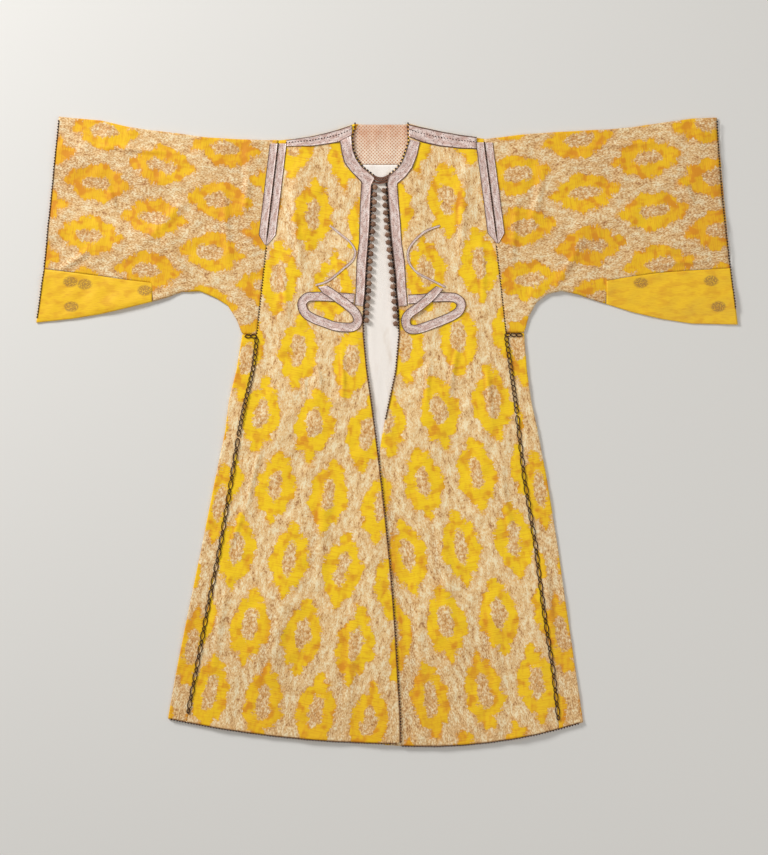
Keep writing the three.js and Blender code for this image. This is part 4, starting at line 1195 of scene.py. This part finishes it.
def link(length, width, cord=LINK_CORD, around=14, sides=6):
    """An open link of chain: a round cord carried round an oval, one side a little higher, so that it
    looks twisted."""
    angle = np.linspace(0, 2 * np.pi, around, endpoint=False)[:, None]
    turn = np.linspace(0, 2 * np.pi, sides, endpoint=False)
    reach = np.cos(turn) * cord
    x = np.cos(angle) * (length / 2 - cord + reach)
    y = np.sin(angle) * (width / 2 - cord + reach)
    z = cord + np.sin(turn) * cord + 0.25 * cord * (1 + np.sin(2 * angle))
    return np.dstack([x, y, z]).reshape(-1, 3), loop_faces(around, sides)


def chain(name, side, parts, material):
    """Links placed along a line: parts is a list of link sizes and the places that each has."""
    points, faces = np.empty((0, 3)), []
    for size, places, directions in parts:
        shape, quads = link(size["length"], size["width"])
        heights = cloth_under(side, places[:, 0], places[:, 1])[0] + TRIM_GAP
        more, more_faces = copies(shape, quads, places, directions, heights)
        faces += [[i + len(points) for i in face] for face in more_faces]
        points = np.vstack([points, more])
    return mesh_piece(name, points, outward(points, faces), material)


# The second colour is the painted highlight on the strands.
dark_finish = dark_silk("dark_brown_silk", DARK_SILK, dye(120, 80, 44))
for side, sign in (("right", -1), ("left", 1)):
    node = "side_braid_" + side
    top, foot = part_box(node)[1][1] - 1e-4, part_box(node)[0][1] + 1e-4
    lines = [side_line(node, (0, top), (0, foot), 1, highest, 200)[1:-1] for highest in (False, True)]
    line = (lines[0] + lines[1]) / 2
    line = np.vstack([reach_on(line, CHAIN_START, 4), line])
    upper, lower = line[line[:, 1] > CHAIN[side]], line[line[:, 1] <= CHAIN[side]]
    pair = LONG_LINK["length"] + ROUND_LINK["length"] - 4 * LINK_CORD
    first_round = LONG_LINK["length"] + ROUND_LINK["length"] / 2 - 2 * LINK_CORD
    parts = [
        (SHORT_LINK, *walk(upper[::-1], SHORT_LINK["pitch"], SHORT_LINK["pitch"] / 2)),
        (LONG_LINK, *walk(lower, pair, LONG_LINK["length"] / 2)),
        (ROUND_LINK, *walk(lower, pair, first_round)),
    ]
    side_chain = chain(node + "_chain", side, parts, dark_finish)
    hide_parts(node)

    node = "underarm_braid_" + side
    low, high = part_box(node)
    line = np.array([(low[0], (low[1] + high[1]) / 2), (high[0], (low[1] + high[1]) / 2)])
    parts = [(ARM_LINK, *walk(line, ARM_LINK["pitch"], ARM_LINK["length"] / 2))]
    arm_chain = chain(node + "_chain", side, parts, dark_finish)
    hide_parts(node)
    trims[side] += [side_chain, arm_chain]


# ---- The edgings ---------------------------------------------------------------------------------
# A narrow braid of dark silk binds the front edges, the hem and the cuffs. Along its outer side it
# is worked into small black picots, one beside the next.
EDGING_HEIGHT = 0.0011
PICOT = {"length": 0.0034, "width": 0.0038, "height": 0.0017}
PICOT_PITCH = 0.0060
EDGING_SILK = dye(126, 84, 52)
BINDING_FOOT = 0.260
BLOCK_STITCH = {"length": 0.0050, "width": 0.0058, "height": 0.0018}
NECK_STITCH = {"length": 0.0048, "width": 0.0036, "height": 0.0015}
BLOCK_PITCH = 0.0078
# The second colour is the painted highlight on the strands.
edging_finish = dark_silk("edging_silk", EDGING_SILK, dye(186, 140, 88))
cut_edges = {side: front_line(side, True, 520) for side in ("right", "left")}


def edging(node, name, outer, inner, side, picot_shift):
    """A narrow braid between two lines, with picots along its outer one."""
    strip = band(name + "_braid", outer, inner, side, edging_finish, height=EDGING_HEIGHT)
    picots = stitches(
        name + "_picots", outer, side, PICOT_PITCH, PICOT, black_finish,
        shift=picot_shift, uneven=0.0003,
    )
    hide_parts(node)
    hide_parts(node)
    return [strip, picots]


for side, sign in (("right", -1), ("left", 1)):
    edge = cut_edges[side]
    low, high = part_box("front_edging_" + side)
    bound = edge[(edge[:, 1] <= high[1]) & (edge[:, 1] >= low[1])]
    wide = np.where(bound[:, 1:] > BINDING_FOOT, 0.0030, 0.0044)
    inward = both_sides(bound, wide)[0 if sign < 0 else 1]
    inward = bound + (inward - bound) * np.sign((inward - bound)[:, :1] * sign)
    trims[side] += edging("front_edging_" + side, "front_edging_" + side, bound, inward, side, 0.0)
    upper = bound[bound[:, 1] > BINDING_FOOT - 0.03]
    neck = edge[edge[:, 1] > high[1]]
    trims[side] += [
        stitches(
            "front_blocks_" + side, upper, side, BLOCK_PITCH, BLOCK_STITCH, black_finish,
            uneven=0.0008, lift=EDGING_HEIGHT * 0.5,
        ),
        stitches(
            "neck_stitches_" + side, neck, side, BLOCK_PITCH, NECK_STITCH, black_finish,
            uneven=0.0003,
        ),
    ]

    node = "hem_edging_" + side
    low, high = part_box(node)
    ends = (low[0] + 1e-4, 0), (high[0] - 1e-4, 0)
    foot = side_line(node, *ends, 0, False, 160)[1:-1]
    top = side_line(node, *ends, 0, True, 160)[1:-1]
    trims[side] += edging(node, node, foot, foot * 0.70 + top * 0.30, side, -0.0004)

    node = "cuff_edging_" + side
    low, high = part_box(node)
    ends = (0, high[1] - 1e-4), (0, low[1] + 1e-4)
    outer = side_line(node, *ends, 1, sign > 0, 130)[1:-1]
    inner = side_line(node, *ends, 1, sign < 0, 130)[1:-1]
    trims[side] += edging(node, node, outer, outer * 0.80 + inner * 0.20, side, 0.0)


# ---- The cords at the foot of the neck -----------------------------------------------------------
# Short brown silk cords cross from one cut edge to the other above the first knots, and hold the
# neck closed.
NECK_CORDS = [
    # up on the right edge, up on the left edge, and how far the cord hangs between them
    (0.537, 0.540, 0.007),
    (0.531, 0.533, 0.006),
    (0.524, 0.526, 0.004),
]
NECK_CORD_WIDTH, NECK_CORD_HEIGHT = 0.0036, 0.0022
# The second colour is the painted highlight on the strands.
neck_cord_finish = dark_silk("brown_neck_cord", dye(112, 70, 52), dye(176, 134, 112))
for i, (right_y, left_y, sag) in enumerate(NECK_CORDS):
    ends = [
        (np.interp(-y, -line[:, 1], line[:, 0]) + reach, y)
        for line, y, reach in zip(cut_edges.values(), (right_y, left_y), (-0.003, 0.003))
    ]
    t = np.linspace(0, 1, 24)[:, None]
    route = ends[0] + t * (np.array(ends[1]) - ends[0]) - np.sin(np.pi * t) * (0, sag)
    left, right = both_sides(route, NECK_CORD_WIDTH)
    cord = band(
        f"neck_cord_{i + 1}", left, right, "right", neck_cord_finish,
        height=NECK_CORD_HEIGHT,
    )
    trims["right"].append(cord)


# ---- The knots -----------------------------------------------------------------------------------
# Nineteen buttons a side, each a Turk's head knot of grey-brown silk cord over a core, sewn on beside
# the edging one below the next.
KNOT_CORD = 0.0014
KNOT_BIGHTS = 5
KNOT_CORE = 0.90
KNOT_SILK = dye(96, 62, 42)
KNOT_LIGHT = dye(166, 126, 98)
KNOTS = 19
KNOT_PITCH = 0.0155
FIRST_LEFT_KNOT = 0.505


def turks_head(radius, height, steps=56, sides=6):
    """A Turk's head on a squashed ball: a cord that goes twice round while it swings up and down five
    times for two turns, over and under itself by turns, and a plain core inside."""
    t = np.linspace(0, 4 * np.pi, steps, endpoint=False)
    lean = 1.02 * np.sin(KNOT_BIGHTS / 2 * t)
    weave = 1 + 0.10 * np.cos(KNOT_BIGHTS * t)
    reach, rise = radius - KNOT_CORD, height / 2 - KNOT_CORD
    path = np.stack([
        reach * weave * np.cos(lean) * np.cos(t), reach * weave * np.cos(lean) * np.sin(t),
        rise * weave * np.sin(lean),
    ], axis=1)
    tangent = np.roll(path, -1, axis=0) - np.roll(path, 1, axis=0)
    tangent = tangent / np.linalg.norm(tangent, axis=1)[:, None]
    away = path / np.linalg.norm(path, axis=1)[:, None]
    side = np.cross(tangent, away)
    side = side / np.linalg.norm(side, axis=1)[:, None]
    up = np.cross(side, tangent)
    turn = np.linspace(0, 2 * np.pi, sides, endpoint=False)
    tube = path[:, None] + KNOT_CORD * (
        side[:, None] * np.cos(turn)[:, None] + up[:, None] * np.sin(turn)[:, None]
    )
    core_turn = np.linspace(0, 2 * np.pi, 10, endpoint=False)
    core_rise = np.linspace(-1.45, 1.45, 7)[:, None]
    core = np.dstack([
        KNOT_CORE * radius * np.cos(core_rise) * np.cos(core_turn),
        KNOT_CORE * radius * np.cos(core_rise) * np.sin(core_turn),
        KNOT_CORE * height / 2 * np.sin(core_rise) + 0 * core_turn,
    ]).reshape(-1, 3)
    tube = tube.reshape(-1, 3)
    core_faces = [[i + len(tube) for i in face] for face in outward(core, solid_faces(7, 10))]
    return np.vstack([tube, core]), outward(tube, loop_faces(steps, sides).tolist()) + core_faces


def knotted_silk():
    """Grey-brown silk cord with painted highlights on its strands, and each knot its own
    tone."""
    material = finish("knotted_silk", Roughness=0.5, Specular_IOR_Level=0.45)
    tree = material.node_tree
    place = add(tree, "TexCoord", 3)
    strand = add(tree, "TexNoise", Vector=place, Scale=1500.0, Detail=2.0)
    each = add(tree, "TexNoise", Vector=place, Scale=55.0, Detail=0.0)
    # Painted highlights on the strands, and a lighter tone on some knots.
    share = strand.between(0.42, 0.62) * 0.6 + each.between(0.4, 0.6) * 0.4
    return coat(material, blend(tree, share, KNOT_SILK, KNOT_LIGHT), strand, 0.6, 0.0005)


knot_finish = knotted_silk()
knot_radius = (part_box("button_01")[1][0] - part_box("button_01")[0][0]) / 2
knot_low, knot_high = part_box("button_01")[0][2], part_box("button_01")[1][2]
knot_points, knot_faces = turks_head(knot_radius, knot_high - knot_low)
knot_spin = np.random.default_rng(19)


def spun_knot():
    """The knot's points, turned by chance about its upright axis."""
    turn = knot_spin.uniform(0, 2 * np.pi)
    return knot_points @ np.array([
        (np.cos(turn), np.sin(turn), 0), (-np.sin(turn), np.cos(turn), 0), (0, 0, 1),
    ])


for i in range(KNOTS):
    low, high = (np.array(p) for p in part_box(f"button_{i + 1:02d}"))
    at = spun_knot() + (low + high) / 2
    one = mesh_piece(f"knot_{i + 1:02d}", at, knot_faces, knot_finish)
    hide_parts(f"button_{i + 1:02d}")

edge = cut_edges["left"]
knot_y = FIRST_LEFT_KNOT - KNOT_PITCH * np.arange(KNOTS)
knot_x = np.interp(-knot_y, -edge[:, 1], edge[:, 0]) - knot_radius - 2 * TRIM_GAP
left_points, left_faces = np.empty((0, 3)), []
for x, y in zip(knot_x, knot_y):
    left_faces += [[k + len(left_points) for k in face] for face in knot_faces]
    left_points = np.vstack([left_points, spun_knot() + (x, y, (knot_low + knot_high) / 2)])
left_knots = mesh_piece("knots_left", left_points, left_faces, knot_finish)
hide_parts("front_edging_left")
trims["left"].append(left_knots)


# ---- The fronts' sizes, and the bounds of everything ---------------------------------------------
for side, front in fronts.items():
    outline = np.empty(3 * len(front.data.vertices))
    front.data.vertices.foreach_get("co", outline)
    cut, area = cut_size(outline.reshape(*FRONT_COUNTS, 3)[..., :2])

low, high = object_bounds()
